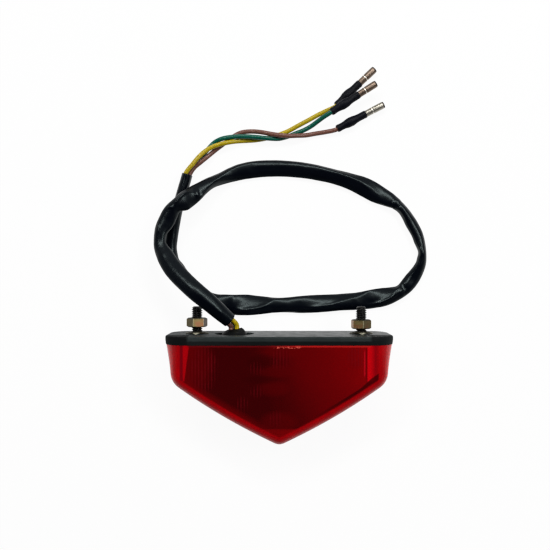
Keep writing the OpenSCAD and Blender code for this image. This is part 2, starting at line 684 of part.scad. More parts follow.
// Domed LED standing on the board
module led(x, y) {
    r = led_d / 2;
    translate([x, y, board_front])
        rotate_extrude() polygon(concat(
            [[0, 0], [r + led_rim, 0], [r + led_rim, 1], [r, 1]],
            [for (a = [0:15:90]) [r * cos(a), led_h - r + r * sin(a)]]
        ));
}

// Row of n LEDs centred on the board
module led_row(n, y) {
    for (i = [0:n - 1]) led((i - (n - 1) / 2) * led_pitch, y);
}

module tail_leds() {
    color([0.85, 0.2, 0.18]) {
        led_row(7, row_y);
        led_row(3, row_y - 2 * row_pitch);
    }
}

module brake_leds() {
    color([0.9, 0.85, 0.82]) led_row(6, row_y - row_pitch);
}

// Round component lying on the board along X
module component(x, y, d, l) {
    translate([x - l / 2, y, board_front + d / 2]) rotate([0, 90, 0]) cylinder(d = d, h = l);
}

module resistors() {
    color([0.45, 0.62, 0.75])
        for (i = [-1.5:1:1.5]) component(i * led_pitch, screw_y, resistor_d, resistor_l);
}

module diodes() {
    color([0.08, 0.08, 0.08])
        for (x = [0, led_pitch]) component(x, pad_y, diode_d, diode_l);
}

module board_screws() {
    color([0.7, 0.7, 0.7])
        for (s = [-1, 1])
            translate([s * post_x, screw_y, 0]) rotate_extrude() polygon([
                [0, board_front - screw_l], [screw_d / 2, board_front - screw_l],
                [screw_d / 2, board_front], [screw_head_d / 2, board_front],
                [screw_head_d / 2 - 0.6, board_front + screw_head_h],
                [0, board_front + screw_head_h]
            ]);
}

// Direction of a route at its point i
function heading(route, i) =
    unit(route[min(i + 1, len(route) - 1)] - route[max(i - 1, 0)]);

// Level direction across a heading t
function side_of(t) =
    norm([t[0], t[1]]) < 0.001 ? [-1, 0, 0] : unit([-t[1], t[0], 0]);

// Ring of n points about p, square to t: half sizes a and b, rolled about t
function ring(p, t, a, b, roll, n) =
    let (
        flat = side_of(t),
        up = cross(t, flat)
    )
    [for (i = [0:n - 1])
        let (
            u = a * cos(360 * i / n),
            v = b * sin(360 * i / n)
        )
        p + flat * (u * cos(roll) - v * sin(roll)) + up * (u * sin(roll) + v * cos(roll))];

// Wire of round section along a route
module wire(route) {
    skin([for (i = [0:len(route) - 1])
        ring(route[i], heading(route, i), wire_d / 2, wire_d / 2, 22.5, 8)]);
}

// Point of the sleeve's route at a station between its rows
function route_at(s) =
    let (
        last = len(sleeve_route) - 1,
        i = min(floor(s), last - 1),
        t = s - i,
        a = sleeve_route[max(i - 1, 0)],
        b = sleeve_route[i],
        c = sleeve_route[i + 1],
        d = sleeve_route[min(i + 2, last)]
    )
    b + t * (c - a) / 2 + t * t * (2 * a - 5 * b + 4 * c - d) / 2
        + t * t * t * (3 * b - a - 3 * c + d) / 2;

// Point i of the sleeve's section of form f: across and up
function section_point(f, i) =
    let (
        a = 360 * i / sleeve_sides,
        u = (cos(a) > 0 ? f[1] : f[2]) * cos(a)
    )
    [u, f[3] / 2 * sin(a) + f[4] * u];

// Depth of a section of form f under its middle
function section_drop(f) =
    -min([for (i = [0:sleeve_sides - 1]) section_point(f, i)[1]]);

// Middle line and rings of the sleeve
sleeve_path = [
    for (f = sleeve_form)
        let (p = route_at(f[0]))
        [p[0], p[1], max(0, p[2]) + section_drop(f)]
];
sleeve_last = len(sleeve_path) - 1;
sleeve_rings = [
    for (i = [0:sleeve_last])
        let (
            t = heading(sleeve_path, i),
            flat = side_of(t),
            up = cross(t, flat)
        )
        [for (k = [0:sleeve_sides - 1])
            let (q = section_point(sleeve_form[i], k))
            sleeve_path[i] + q[0] * flat + q[1] * up]
];

// Place of a wire at the sleeve's end i: off the middle by q, out of the mouth by out
function at_mouth(i, q, out) =
    let (
        t = heading(sleeve_path, i),
        flat = side_of(t),
        up = cross(t, flat)
    )
    sleeve_path[i] + q[0] * flat + q[1] * up + (i == 0 ? -out : out) * t;

module cable_sleeve() {
    color([0.1, 0.11, 0.12]) skin(sleeve_rings);
}

// Wire from its pad on the board up through its hole in the plug to the sleeve's mouth
module feed_wire(pad_x, hole, q) {
    x = outlet_x + hole[0];
    z = stud_z + hole[1];
    px = outlet_x + pad_x;
    wire([
        [px, pad_y, board_front], [px, pad_y, board_front + 1.6],
        [px, pad_y + 1.6, min(z, board_front + 2.6)], [x, rim_y - 2.2, z],
        [x, rim_y - 0.5, z], [x, base_top + dome_h, z], [x, base_top + dome_h + 0.6, z],
        at_mouth(0, q, mouth_gap + 1.2), at_mouth(0, q, mouth_gap)
    ]);
}

module yellow_feed_wire() {
    color([0.82, 0.66, 0.1]) feed_wire(pad_pitch, yellow_hole, [-1.3, 1.1]);
}

module green_feed_wire() {
    color([0.02, 0.4, 0.33]) feed_wire(0, green_hole, [-0.6, -1.7]);
}

module brown_feed_wire() {
    color([0.45, 0.3, 0.25]) feed_wire(-pad_pitch, brown_hole, [1.8, 0.9]);
}

// Point at distance s along a boot's axis
function on_axis(at, a, s) = at + s * [cos(a), sin(a), 0];

// Wire from the sleeve's far end over its route to its grip in a boot
module tail_wire(q, route, at, a) {
    wire(concat(
        [at_mouth(sleeve_last, q, mouth_gap), at_mouth(sleeve_last, q, mouth_gap + 2)],
        route,
        [on_axis(at, a, -1.5), on_axis(at, a, wire_grip)]
    ));
}

module yellow_tail_wire() {
    color([0.82, 0.66, 0.1])
        tail_wire([1, 2.5], yellow_tail, yellow_boot_at, yellow_heading);
}

module green_tail_wire() {
    color([0.02, 0.4, 0.33])
        tail_wire([0.6, -2.3], green_tail, green_boot_at, green_heading);
}

module brown_tail_wire() {
    color([0.45, 0.3, 0.25])
        tail_wire([-1, 0.4], brown_tail, brown_boot_at, brown_heading);
}

// Revolved piece with its axis along a heading on the table
module laid(at, a) {
    translate(at) rotate([0, 0, a]) rotate([0, 90, 0]) rotate_extrude() children();
}

// Rubber boot over the wire's end and the crimp
module boot(at, a) {
    wire_r = wire_d / 2 + boot_play;
    crimp_r = crimp_d / 2 + boot_play;
    color([0.08, 0.08, 0.08]) laid(at, a) polygon([
        [wire_r, 0], [boot_wire_d / 2, 0], [boot_wire_d / 2, boot_l * 0.18],
        [boot_mid_d / 2 - 0.2, boot_l * 0.36], [boot_mid_d / 2, boot_l * 0.46],
        [boot_mid_d / 2 - 0.1, boot_l * 0.58], [boot_end_d / 2, boot_l * 0.72],
        [boot_end_d / 2, boot_l], [crimp_r, boot_l], [crimp_r, wire_grip],
        [wire_r, wire_grip]
    ]);
}

module yellow_boot() { boot(yellow_boot_at, yellow_heading); }

module green_boot() { boot(green_boot_at, green_heading); }

module brown_boot() { boot(brown_boot_at, brown_heading); }

// Bullet terminal: crimp inside the boot, neck, barrel and round nose
module bullet(at, a) {
    r = bullet_d / 2;
    tip = boot_l + bullet_l;
    crimp_at = wire_grip + 2 * boot_play;
    color([0.72, 0.68, 0.6]) laid(at, a) polygon(concat(
        [[0, crimp_at], [crimp_d / 2, crimp_at], [crimp_d / 2, boot_l],
         [bullet_neck_d / 2, boot_l], [bullet_neck_d / 2, boot_l + bullet_neck],
         [r, boot_l + bullet_neck]],
        [for (i = [0:15:90])
            [r - bullet_nose_r + bullet_nose_r * cos(i),
             tip - bullet_nose_r + bullet_nose_r * sin(i)]],
        [[0, tip]]
    ));
}

module yellow_bullet() { bullet(yellow_boot_at, yellow_heading); }

module green_bullet() { bullet(green_boot_at, green_heading); }

module brown_bullet() { bullet(brown_boot_at, brown_heading); }

mounting_base();
lens();
lens_seal();
left_stud_bolt();
right_stud_bolt();
left_spring_washer();
right_spring_washer();
left_nut();
right_nut();
wire_grommet();
led_board();
tail_leds();
brake_leds();
resistors();
diodes();
board_screws();
yellow_feed_wire();
green_feed_wire();
brown_feed_wire();
cable_sleeve();
yellow_tail_wire();
green_tail_wire();
brown_tail_wire();
yellow_boot();
green_boot();
brown_boot();
yellow_bullet();
green_bullet();
brown_bullet();
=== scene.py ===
"""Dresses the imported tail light: red lens, black base, plated hardware and a sleeved lead."""

import math

import bmesh
import bpy
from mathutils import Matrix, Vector, noise


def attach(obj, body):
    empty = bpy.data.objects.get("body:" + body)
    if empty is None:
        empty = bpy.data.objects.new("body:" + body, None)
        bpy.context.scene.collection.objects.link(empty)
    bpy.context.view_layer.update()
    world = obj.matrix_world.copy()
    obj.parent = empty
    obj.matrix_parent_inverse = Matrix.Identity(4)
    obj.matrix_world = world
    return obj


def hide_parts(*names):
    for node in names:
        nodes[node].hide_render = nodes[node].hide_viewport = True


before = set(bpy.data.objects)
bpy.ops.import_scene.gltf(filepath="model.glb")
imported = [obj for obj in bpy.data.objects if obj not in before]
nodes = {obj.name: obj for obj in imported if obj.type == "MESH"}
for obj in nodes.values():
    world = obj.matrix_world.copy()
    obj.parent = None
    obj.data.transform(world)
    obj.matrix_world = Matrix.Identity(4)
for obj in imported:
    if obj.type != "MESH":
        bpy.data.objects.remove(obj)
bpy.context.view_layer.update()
scene = bpy.context.scene

MM = 0.001
HOUSING = "housing"

# Sizes shared with the part's source, in millimetres
BASE_W, BASE_D = 122.0, 40.0
BASE_TOP, LIP_T, BASE_CORNER_R = 21.0, 4.5, 12.0
LIP_OVERHANG = 0.5
RIM_Y = BASE_TOP - LIP_T
LENS_H, SHOULDER_DROP, SIDE_LEAN = 53.5, 19.9, 3.3
LENS_WALL, V_FRONT_R, V_BACK_R, V_BOW = 2.5, 5.0, 3.5, 1.5
SHOULDER_R, TIP_R, FRONT_DRAFT = 10.0, 6.0, 1.5
FLUTE_PITCH, FLUTE_DEPTH = 1.7, 0.35
STUD_X, STUD_Z, STUD_END = 45.0, 20.0, 36.0
NUT_AF, NUT_H, STUD_R = 10.0, 5.0, 3.0
LEFT_NUT_LIFT, RIGHT_NUT_LIFT = 3.8, 2.8
LEFT_NUT_TURN, RIGHT_NUT_TURN = 15.0, -25.0
WASHER_SIDE, WASHER_T, WASHER_DISH = 9.3, 0.8, 0.6
OUTLET_X, DOME_H, RECESS_T = -24.5, 3.6, 1.2
WIRE_D = 2.6
BOOT_L, BULLET_L = 18.5, 11.5
BOOT_Z = 2.77
BOOT_STACK = 4.4
BOARD_FRONT, PAD_Y = 15.6, 8.5


# Mesh helpers


def add_object(name, data):
    """Object in the scene that shows some data."""
    obj = bpy.data.objects.new(name, data)
    scene.collection.objects.link(obj)
    return obj


def add_mesh(name, verts, faces, material):
    """Smooth object from points in millimetres."""
    mesh = bpy.data.meshes.new(name)
    mesh.from_pydata([Vector(v) * MM for v in verts], [], faces)
    mesh.validate()
    bm = bmesh.new()
    bm.from_mesh(mesh)
    bmesh.ops.recalc_face_normals(bm, faces=bm.faces)
    bm.to_mesh(mesh)
    bm.free()
    mesh.polygons.foreach_set("use_smooth", [True] * len(mesh.polygons))
    mesh.materials.append(material)
    return add_object(name, mesh)


def point_values(obj, name, values):
    """Per-point number that the object's material reads."""
    layer = obj.data.attributes.new(name, "FLOAT", "POINT")
    layer.data.foreach_set("value", values)


def sharpen(obj, degrees):
    """Hard shading across edges that turn more than an angle."""
    bm = bmesh.new()
    bm.from_mesh(obj.data)
    limit = math.radians(degrees)
    for edge in bm.edges:
        edge.smooth = len(edge.link_faces) == 2 and edge.calc_face_angle(0.0) < limit
    bm.to_mesh(obj.data)
    bm.free()


def grid_faces(rows, cols, start=0):
    """Quads between rings of cols points each."""
    faces = []
    for r in range(rows - 1):
        for c in range(cols):
            a = start + r * cols + c
            b = start + r * cols + (c + 1) % cols
            faces.append((a, b, b + cols, a + cols))
    return faces


def capped_faces(rows, cols, start=0):
    """Quads between rings, and a face over each end."""
    first = tuple(start + i for i in reversed(range(cols)))
    last = tuple(start + (rows - 1) * cols + i for i in range(cols))
    return grid_faces(rows, cols, start) + [first, last]


def looped_faces(rows, cols):
    """Quads between rings, of which the last joins the first."""
    end = (rows - 1) * cols
    joint = [(end + i, end + (i + 1) % cols, (i + 1) % cols, i) for i in range(cols)]
    return grid_faces(rows, cols) + joint


def round_places(n):
    """Angles of n points round a circle."""
    return [2 * math.pi * i / n for i in range(n)]


def upright(x, r, a, y):
    """Place at a height on a circle about a stud."""
    return (x + r * math.sin(a), y, STUD_Z + r * math.cos(a))


def smoothstep(a, b, x):
    """Smooth step from 0 at a to 1 at b."""
    t = min(1.0, max(0.0, (x - a) / (b - a)))
    return t * t * (3 - 2 * t)


def put(obj, body, slot, *replaced):
    """The piece rides on a body and stands for its CAD nodes, which it hides; its slot is not used.
    """
    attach(obj, body)
    if replaced:
        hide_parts(*replaced)
    return obj


def spline(points, step):
    """Points about a step apart on a smooth curve through rows that begin with a place."""
    rows = [Vector(p) for p in points]
    n = len(rows)
    span = [(Vector(rows[i + 1][:3]) - Vector(rows[i][:3])).length for i in range(n - 1)]

    def slope(i):
        """Change of the row per millimetre at a point."""
        if i == 0:
            return (rows[1] - rows[0]) / span[0]
        if i == n - 1:
            return (rows[-1] - rows[-2]) / span[-1]
        before = (rows[i] - rows[i - 1]) / span[i - 1]
        after = (rows[i + 1] - rows[i]) / span[i]
        return (before * span[i] + after * span[i - 1]) / (span[i] + span[i - 1])

    slopes = [slope(i) for i in range(n)]
    out = []
    for i in range(n - 1):
        count = max(1, round(span[i] / step))
        for k in range(count):
            t = k / count
            a = 2 * t**3 - 3 * t**2 + 1
            b = t**3 - 2 * t**2 + t
            c = -2 * t**3 + 3 * t**2
            d = t**3 - t**2
            point = a * rows[i] + b * span[i] * slopes[i]
            point += c * rows[i + 1] + d * span[i] * slopes[i + 1]
            out.append(point)
    out.append(rows[-1])
    return out


def length_of(points):
    """Length of a line through points."""
    return sum((b - a).length for a, b in zip(points, points[1:]))


# Materials


def material(name, color, roughness, metallic=0.0):
    """Principled material, its node tree and its shader."""
    mat = bpy.data.materials.new(name)
    mat.use_nodes = True
    tree = mat.node_tree
    shader = tree.nodes["Principled BSDF"]
    shader.inputs["Base Color"].default_value = (*color, 1.0)
    shader.inputs["Roughness"].default_value = roughness
    shader.inputs["Metallic"].default_value = metallic
    return mat, tree, shader


def opened(mat):
    """A material's node tree, its shader, and what feeds its colour and its roughness."""
    tree = mat.node_tree
    shader = tree.nodes["Principled BSDF"]
    fed = [shader.inputs[name].links[0].from_socket for name in ("Base Color", "Roughness")]
    return tree, shader, *fed


def feed(shader, name, source):
    """Lets a node output drive one of a shader's inputs."""
    shader.id_data.links.new(source, shader.inputs[name])


def coords(tree):
    """Place in the object's own axes."""
    return tree.nodes.new("ShaderNodeTexCoord").outputs["Object"]


def added(kind, *sources):
    """New node in the tree of the first source that isn't a plain value, and that tree."""
    tree = next(s.id_data for s in sources if isinstance(s, bpy.types.NodeSocket))
    return tree.nodes.new(kind), tree


def parts(source):
    """The three numbers of a vector, by name."""
    node, tree = added("ShaderNodeSeparateXYZ", source)
    tree.links.new(source, node.inputs[0])
    return node.outputs


def attribute(tree, name):
    """Per-point number of the mesh."""
    node = tree.nodes.new("ShaderNodeAttribute")
    node.attribute_name = name
    return node.outputs["Fac"]


def noise_node(tree, scale, detail=3.0, stretch=None):
    """Noise over the object's own place, in cycles per metre."""
    node = tree.nodes.new("ShaderNodeTexNoise")
    node.inputs["Scale"].default_value = scale
    node.inputs["Detail"].default_value = detail
    source = coords(tree)
    if stretch:
        mapping = tree.nodes.new("ShaderNodeMapping")
        mapping.inputs["Scale"].default_value = stretch
        tree.links.new(source, mapping.inputs["Vector"])
        source = mapping.outputs["Vector"]
    tree.links.new(source, node.inputs["Vector"])
    return node.outputs["Fac"]


def ramp(source, stops):
    """Colours along a value: (place, colour) pairs."""
    node, tree = added("ShaderNodeValToRGB", source)
    while len(node.color_ramp.elements) < len(stops):
        node.color_ramp.elements.new(0.5)
    for element, (place, color) in zip(node.color_ramp.elements, stops):
        element.position = place
        element.color = (*color, 1.0)
    tree.links.new(source, node.inputs["Fac"])
    return node.outputs["Color"]


def spread(source, low, high, from_low=0.3, from_high=0.7, kind="LINEAR"):
    """Value carried from one range to another; noise lies mostly between 0.3 and 0.7."""
    node, tree = added("ShaderNodeMapRange", source)
    node.interpolation_type = kind
    limits = {"From Min": from_low, "From Max": from_high, "To Min": low, "To Max": high}
    for name, value in limits.items():
        node.inputs[name].default_value = value
    tree.links.new(source, node.inputs["Value"])
    return node.outputs["Result"]


def bump(shader, height, strength, distance):
    """Fine relief on a shader's surface."""
    node, tree = added("ShaderNodeBump", height)
    node.inputs["Strength"].default_value = strength
    node.inputs["Distance"].default_value = distance
    tree.links.new(height, node.inputs["Height"])
    feed(shader, "Normal", node.outputs["Normal"])


def calc(operation, *values):
    """Result of an operation on node outputs and numbers."""
    node, tree = added("ShaderNodeMath", *values)
    node.operation = operation
    for socket, value in zip(node.inputs, values):
        if isinstance(value, (int, float)):
            socket.default_value = value
        else:
            tree.links.new(value, socket)
    return node.outputs["Value"]


def rising(value, low, high):
    """Smooth step from 0 below low to 1 above high."""
    return spread(value, 0.0, 1.0, low, high, "SMOOTHSTEP")


def band(value, low, high, soft):
    """1 between two limits, falling off softly outside them."""
    up = rising(value, low - soft, low + soft)
    return calc("SUBTRACT", up, rising(value, high - soft, high + soft))


# Sockets of the mix node that carry colours
MIX_UNDER, MIX_OVER, MIX_OUT = 6, 7, 2


def blend(share, under, over):
    """Colour over another by a share; each is a colour or a node output."""
    node, tree = added("ShaderNodeMix", share)
    node.data_type = "RGBA"
    tree.links.new(share, node.inputs["Factor"])
    for place, value in ((MIX_UNDER, under), (MIX_OVER, over)):
        if isinstance(value, tuple):
            node.inputs[place].default_value = (*value, 1.0)
        else:
            tree.links.new(value, node.inputs[place])
    return node.outputs[MIX_OUT]


def plastic(name, color, roughness, grain=700.0, depth=0.00003, vary=0.15, shine=0.5):
    """Moulded plastic or rubber: fine grain, slight changes of tone and gloss."""
    mat, tree, shader = material(name, color, roughness)
    shader.inputs["Specular IOR Level"].default_value = shine
    tone = noise_node(tree, 90.0, 4.0)
    dark = tuple(c * (1 - vary) for c in color)
    light = tuple(min(1.0, c * (1 + vary)) for c in color)
    feed(shader, "Base Color", ramp(tone, [(0.3, dark), (0.7, light)]))
    gloss = noise_node(tree, 260.0, 2.0)
    feed(shader, "Roughness", spread(gloss, roughness - 0.06, roughness + 0.06))
    bump(shader, noise_node(tree, grain, 2.0), 0.25, depth)
    return mat


def plated(name, stops, roughness, scale=160.0, metallic=1.0):
    """Plated metal with drifting tints and fine scratches."""
    mat, tree, shader = material(name, stops[0][1], roughness, metallic)
    tint = noise_node(tree, scale, 3.0)
    feed(shader, "Base Color", ramp(tint, stops))
    gloss = noise_node(tree, 600.0, 4.0)
    feed(shader, "Roughness", spread(gloss, roughness - 0.04, roughness + 0.06))
    bump(shader, noise_node(tree, 1500.0, 3.0), 0.06, 0.00002)
    return mat


# Cool cast of the light that the black plastics throw back
COOL = (0.83, 1.0, 0.99, 1)

# Where painted shade darkens the base: below its top, out along its ends and back from its front
LIP_PAINTED_SHADE, END_PAINTED_SHADE, FRONT_PAINTED_SHADE = (2.1, 2.7), (46.8, 48.8), (14.0, 8.0)
# Where its left grows dull
LEFT_DULL = (-12.0, -42.0)


def base_material():
    """Moulded black base with painted shade low on its lip and round its ends, duller to the left.
    """
    mat = plastic("base_black", (0.019, 0.024, 0.024), 0.38, shine=0.17)
    tree, shader, tone, gloss = opened(mat)
    place = parts(coords(tree))
    # Painted shade low on the lip and round the ends near the front
    low = rising(place["Y"], *[(BASE_TOP - d) * MM for d in LIP_PAINTED_SHADE])
    tone = blend(low, tone, (0.006, 0.0068, 0.007))
    wide = calc("ABSOLUTE", place["X"])
    front = rising(place["Z"], *[(BASE_D - d) * MM for d in FRONT_PAINTED_SHADE])
    ends = calc("MULTIPLY", rising(wide, *[d * MM for d in END_PAINTED_SHADE]), front)
    tone = blend(ends, tone, (0.0022, 0.0024, 0.0026))
    feed(shader, "Base Color", tone)
    gloss = calc("MULTIPLY_ADD", ends, 0.35, gloss)
    left = rising(place["X"], *[d * MM for d in LEFT_DULL])
    gloss = calc("MULTIPLY_ADD", left, 0.2, gloss)
    feed(shader, "Roughness", gloss)
    shader.inputs["Specular Tint"].default_value = COOL
    return mat


BASE_BLACK = base_material()
SEAL_RUBBER = plastic("seal_rubber", (0.012, 0.012, 0.012), 0.6)
GROMMET_RUBBER = plastic(
    "grommet_rubber", (0.003, 0.0035, 0.0036), 0.5, 500.0, 0.00008, shine=0.06
)
BOOT_BLACK = plastic("boot_black", (0.0012, 0.0016, 0.0046), 0.5, 420.0, 0.00012, shine=0.11)
BOARD = plastic("board_laminate", (0.5, 0.5, 0.47), 0.4)
DIODE_BLACK = plastic("diode_black", (0.01, 0.01, 0.01), 0.5)
RESISTOR = plastic("resistor_blue", (0.2, 0.35, 0.45), 0.4)
LED_RED = plastic("led_red", (0.5, 0.03, 0.03), 0.2)
LED_CLEAR = plastic("led_clear", (0.7, 0.62, 0.6), 0.2)
SCREW = plated("screw_steel", [(0.3, (0.55, 0.55, 0.54)), (0.7, (0.68, 0.68, 0.66))], 0.3)


def nut_material():
    """Passivated zinc: gold and pink clouds, with painted shade on some faces and a painted
    highlight along the corners.
    """
    mat = plated(
        "nut_zinc",
        [
            (0.30, (0.27, 0.215, 0.085)),
            (0.45, (0.34, 0.25, 0.095)),
            (0.55, (0.43, 0.18, 0.085)),
            (0.70, (0.30, 0.225, 0.085)),
        ],
        0.4,
        metallic=0.5,
    )
    tree, shader, tint, _ = opened(mat)
    # Painted shade by face, and a painted highlight along the corners
    tint = blend(attribute(tree, "shade"), (0.022, 0.020, 0.008), tint)
    tint = blend(attribute(tree, "edge"), tint, (0.80, 0.72, 0.48))
    feed(shader, "Base Color", tint)
    return mat


NUT_ZINC = nut_material()


def washer_material():
    """Dull spring steel with a painted highlight at its front corner."""
    mat = plated(
        "zinc_yellow",
        [
            (0.30, (0.020, 0.018, 0.010)),
            (0.50, (0.034, 0.030, 0.018)),
            (0.70, (0.026, 0.024, 0.015)),
        ],
        0.4,
        metallic=0.4,
    )
    tree, shader, tint, _ = opened(mat)
    shader.inputs["Specular IOR Level"].default_value = 0.25
    tint = blend(attribute(tree, "painted_glint"), tint, (0.58, 0.56, 0.42))
    feed(shader, "Base Color", tint)
    return mat


WASHER_ZINC = washer_material()
# The same tin twice: a warm one, and a brighter, paler copy that is painted light on the brown
# wire's bullet
TINNED_WARM = plated(
    "tinned_warm",
    [(0.30, (0.17, 0.12, 0.088)), (0.50, (0.21, 0.155, 0.117)), (0.70, (0.19, 0.145, 0.112))],
    0.42,
    60.0,
)
TINNED_BRIGHT = plated(
    "tinned_bright",
    [(0.30, (0.34, 0.32, 0.265)), (0.50, (0.42, 0.395, 0.34)), (0.70, (0.38, 0.355, 0.305))],
    0.42,
    60.0,
)


def wire_material(name, color):
    """Insulation with a slight gloss and faint changes of tone."""
    mat = plastic(name, color, 0.36, 380.0, 0.00002, 0.1, shine=0.3)
    mat.node_tree.nodes["Principled BSDF"].inputs["Coat Weight"].default_value = 0.05
    return mat


WIRE = {
    "yellow": wire_material("wire_yellow", (0.42, 0.31, 0.003)),
    "green": wire_material("wire_green", (0.0, 0.088, 0.056)),
    "brown": wire_material("wire_brown", (0.15, 0.062, 0.043)),
}


def sleeve_material():
    """Soft black tube: satin sheen and slight changes of tone, with a faint unevenness."""
    mat, tree, shader = material("sleeve_black", (0.001, 0.0013, 0.0016), 0.22)
    shader.inputs["Specular IOR Level"].default_value = 0.23
    shader.inputs["Specular Tint"].default_value = COOL
    tone = noise_node(tree, 60.0, 5.0)
    stops = [(0.3, (0.0002, 0.0006, 0.0027)), (0.7, (0.0008, 0.0014, 0.0038))]
    feed(shader, "Base Color", ramp(tone, stops))
    gloss = noise_node(tree, 150.0, 4.0)
    feed(shader, "Roughness", spread(gloss, 0.28, 0.31))
    bump(shader, noise_node(tree, 110.0, 2.0), 0.04, 0.00006)
    return mat


SLEEVE_BLACK = sleeve_material()

# Dark tin as painted shade in the bore, and pale tin as a painted highlight on the stop ring
TERMINAL_BORE_SHADE = plated(
    "tinned_brass_bore_shade", [(0.3, (0.02, 0.016, 0.013)), (0.7, (0.05, 0.04, 0.033))], 0.5
)
TERMINAL_RING_HIGHLIGHT = plated(
    "tinned_brass_ring_highlight", [(0.3, (0.78, 0.73, 0.64)), (0.7, (0.92, 0.88, 0.8))], 0.36
)


def bolt_material():
    """Black oxide steel, paler on the thread's crests as a painted highlight."""
    mat, tree, shader = material("bolt_black", (0.02, 0.02, 0.022), 0.38)
    shader.inputs["Specular IOR Level"].default_value = 0.35
    stops = [(0.5, (0.001, 0.001, 0.001)), (1.0, (0.03, 0.03, 0.032))]
    tone = ramp(attribute(tree, "crest_highlight"), stops)
    feed(shader, "Base Color", tone)
    gloss = noise_node(tree, 500.0, 3.0)
    feed(shader, "Roughness", spread(gloss, 0.28, 0.45))
    return mat


BOLT_BLACK = bolt_material()

for node, mat in {
    "mounting_base": BASE_BLACK,
    "lens_seal": SEAL_RUBBER,
    "led_board": BOARD,
    "tail_leds": LED_RED,
    "brake_leds": LED_CLEAR,
    "resistors": RESISTOR,
    "diodes": DIODE_BLACK,
    "board_screws": SCREW,
}.items():
    nodes[node].data.materials.clear()
    nodes[node].data.materials.append(mat)


# Lens

RIM_HW = BASE_W / 2 - LIP_OVERHANG
LENS_D = BASE_D - LIP_OVERHANG
RIM_R = BASE_CORNER_R - LIP_OVERHANG
SHOULDER_HW = RIM_HW - SIDE_LEAN
SHOULDER_Y = RIM_Y - SHOULDER_DROP
TIP_Y = RIM_Y - LENS_H


def inward(direction):
    """Inward normal of an outline edge that runs down the right side towards the tip."""
    return Vector((direction.y, -direction.x))


SIDE_IN = inward(Vector((-SIDE_LEAN, -SHOULDER_DROP)).normalized())
V_SIDE = Vector((-SHOULDER_HW, TIP_Y - SHOULDER_Y))
V_DIR = V_SIDE.normalized()
V_IN = inward(V_DIR)
# Headings of the V's bowed side at the shoulder and at the tip
V_START = (V_DIR - V_IN * 4 * V_BOW / V_SIDE.length).normalized()
V_END = (V_DIR + V_IN * 4 * V_BOW / V_SIDE.length).normalized()

# Places where the light catches the flutes: x, y, half width, half height, strength
FLUTE_PATCHES = [
    (-40.0, 4.0, 8.0, 13.0, 0.9),
    (0.5, 9.5, 5.5, 6.0, 0.7),
    (40.0, 10.5, 5.0, 6.5, 0.7),
    (-12.0, 4.5, 4.0, 4.0, 0.4),
    (-12.0, -7.5, 4.0, 4.0, 0.6),
    (-19.5, -14.5, 4.0, 5.0, 0.6),
    (-2.0, -22.0, 4.0, 4.5, 0.5),
]

# Painted reflections and painted shade on the panel, as faint clouds given in the same way
PANEL_PAINTED_GLOWS = [
    (-3.0, -6.0, 10.0, 4.5, 0.32),
    (-1.0, 3.0, 11.0, 4.0, 0.25),
    (2.0, 13.5, 13.0, 4.0, 0.45),
    (0.0, -23.5, 11.0, 6.0, 0.45),
    (-46.0, 6.0, 12.0, 15.0, 0.5),
]
PANEL_PAINTED_GLOOMS = [(-9.5, 8.0, 8.0, 4.5, 0.5), (-9.0, -1.5, 12.0, 2.5, 0.3)]


# Painted light and shade of the panel, from its dark left to its lighter, warm right
PANEL_PAINTED_TONES = [
    (0.0, (0.060, 0.0006, 0.0014)),
    (0.26, (0.10, 0.0006, 0.0016)),
    (0.43, (0.15, 0.0006, 0.0018)),
    (0.65, (0.19, 0.0006, 0.002)),
    (0.85, (0.235, 0.0006, 0.0022)),
    (1.0, (0.31, 0.0008, 0.0026)),
]

# Painted light on the facet at the right, from its inner edge outwards, and where it begins and
# ends
FACET_PAINTED_TONES = [
    (0.0, (0.72, 0.0016, 0.007)),
    (0.3, (0.70, 0.0014, 0.006)),
    (0.75, (0.33, 0.001, 0.005)),
    (1.0, (0.40, 0.001, 0.004)),
]
FACET_X = (46.0, 51.5)


def product(*values):
    """Node outputs and numbers, multiplied."""
    total = values[0]
    for value in values[1:]:
        total = calc("MULTIPLY", total, value)
    return total


def lens_places(tree):
    """Places on the lens in millimetres: across, up, deep, off the middle, in from the V."""
    scale = tree.nodes.new("ShaderNodeVectorMath")
    scale.operation = "SCALE"
    scale.inputs["Scale"].default_value = 1 / MM
    tree.links.new(coords(tree), scale.inputs[0])
    x, y, z = parts(scale.outputs["Vector"])
    wide = calc("ABSOLUTE", x)

    def from_shoulder(direction):
        """Distance from the shoulder along a direction of the right half."""
        offset = -direction.x * SHOULDER_HW - direction.y * SHOULDER_Y
        part = calc("MULTIPLY_ADD", y, direction.y, offset)
        return calc("MULTIPLY_ADD", wide, direction.x, part)

    run = calc("DIVIDE", from_shoulder(V_DIR), V_SIDE.length)
    bow = product(run, calc("SUBTRACT", 1.0, run), 4 * V_BOW)
    from_v = calc("ADD", from_shoulder(V_IN), bow)
    return x, y, z, wide, from_v


def patches(x, y, cloud, spots, solid):
    """Share of the nearest soft oval patch; each is full out to a share of its size."""
    best = None
    for px, py, half_w, half_h, strength in spots:
        dx = calc("DIVIDE", calc("SUBTRACT", x, px), half_w)
        dy = calc("DIVIDE", calc("SUBTRACT", y, py), half_h)
        far = calc("ADD", product(dx, dx), product(dy, dy))
        far = calc("MULTIPLY_ADD", cloud, 0.08, far)
        spot = product(rising(far, 1.2, solid), strength)
        best = spot if best is None else calc("MAXIMUM", best, spot)
    return best


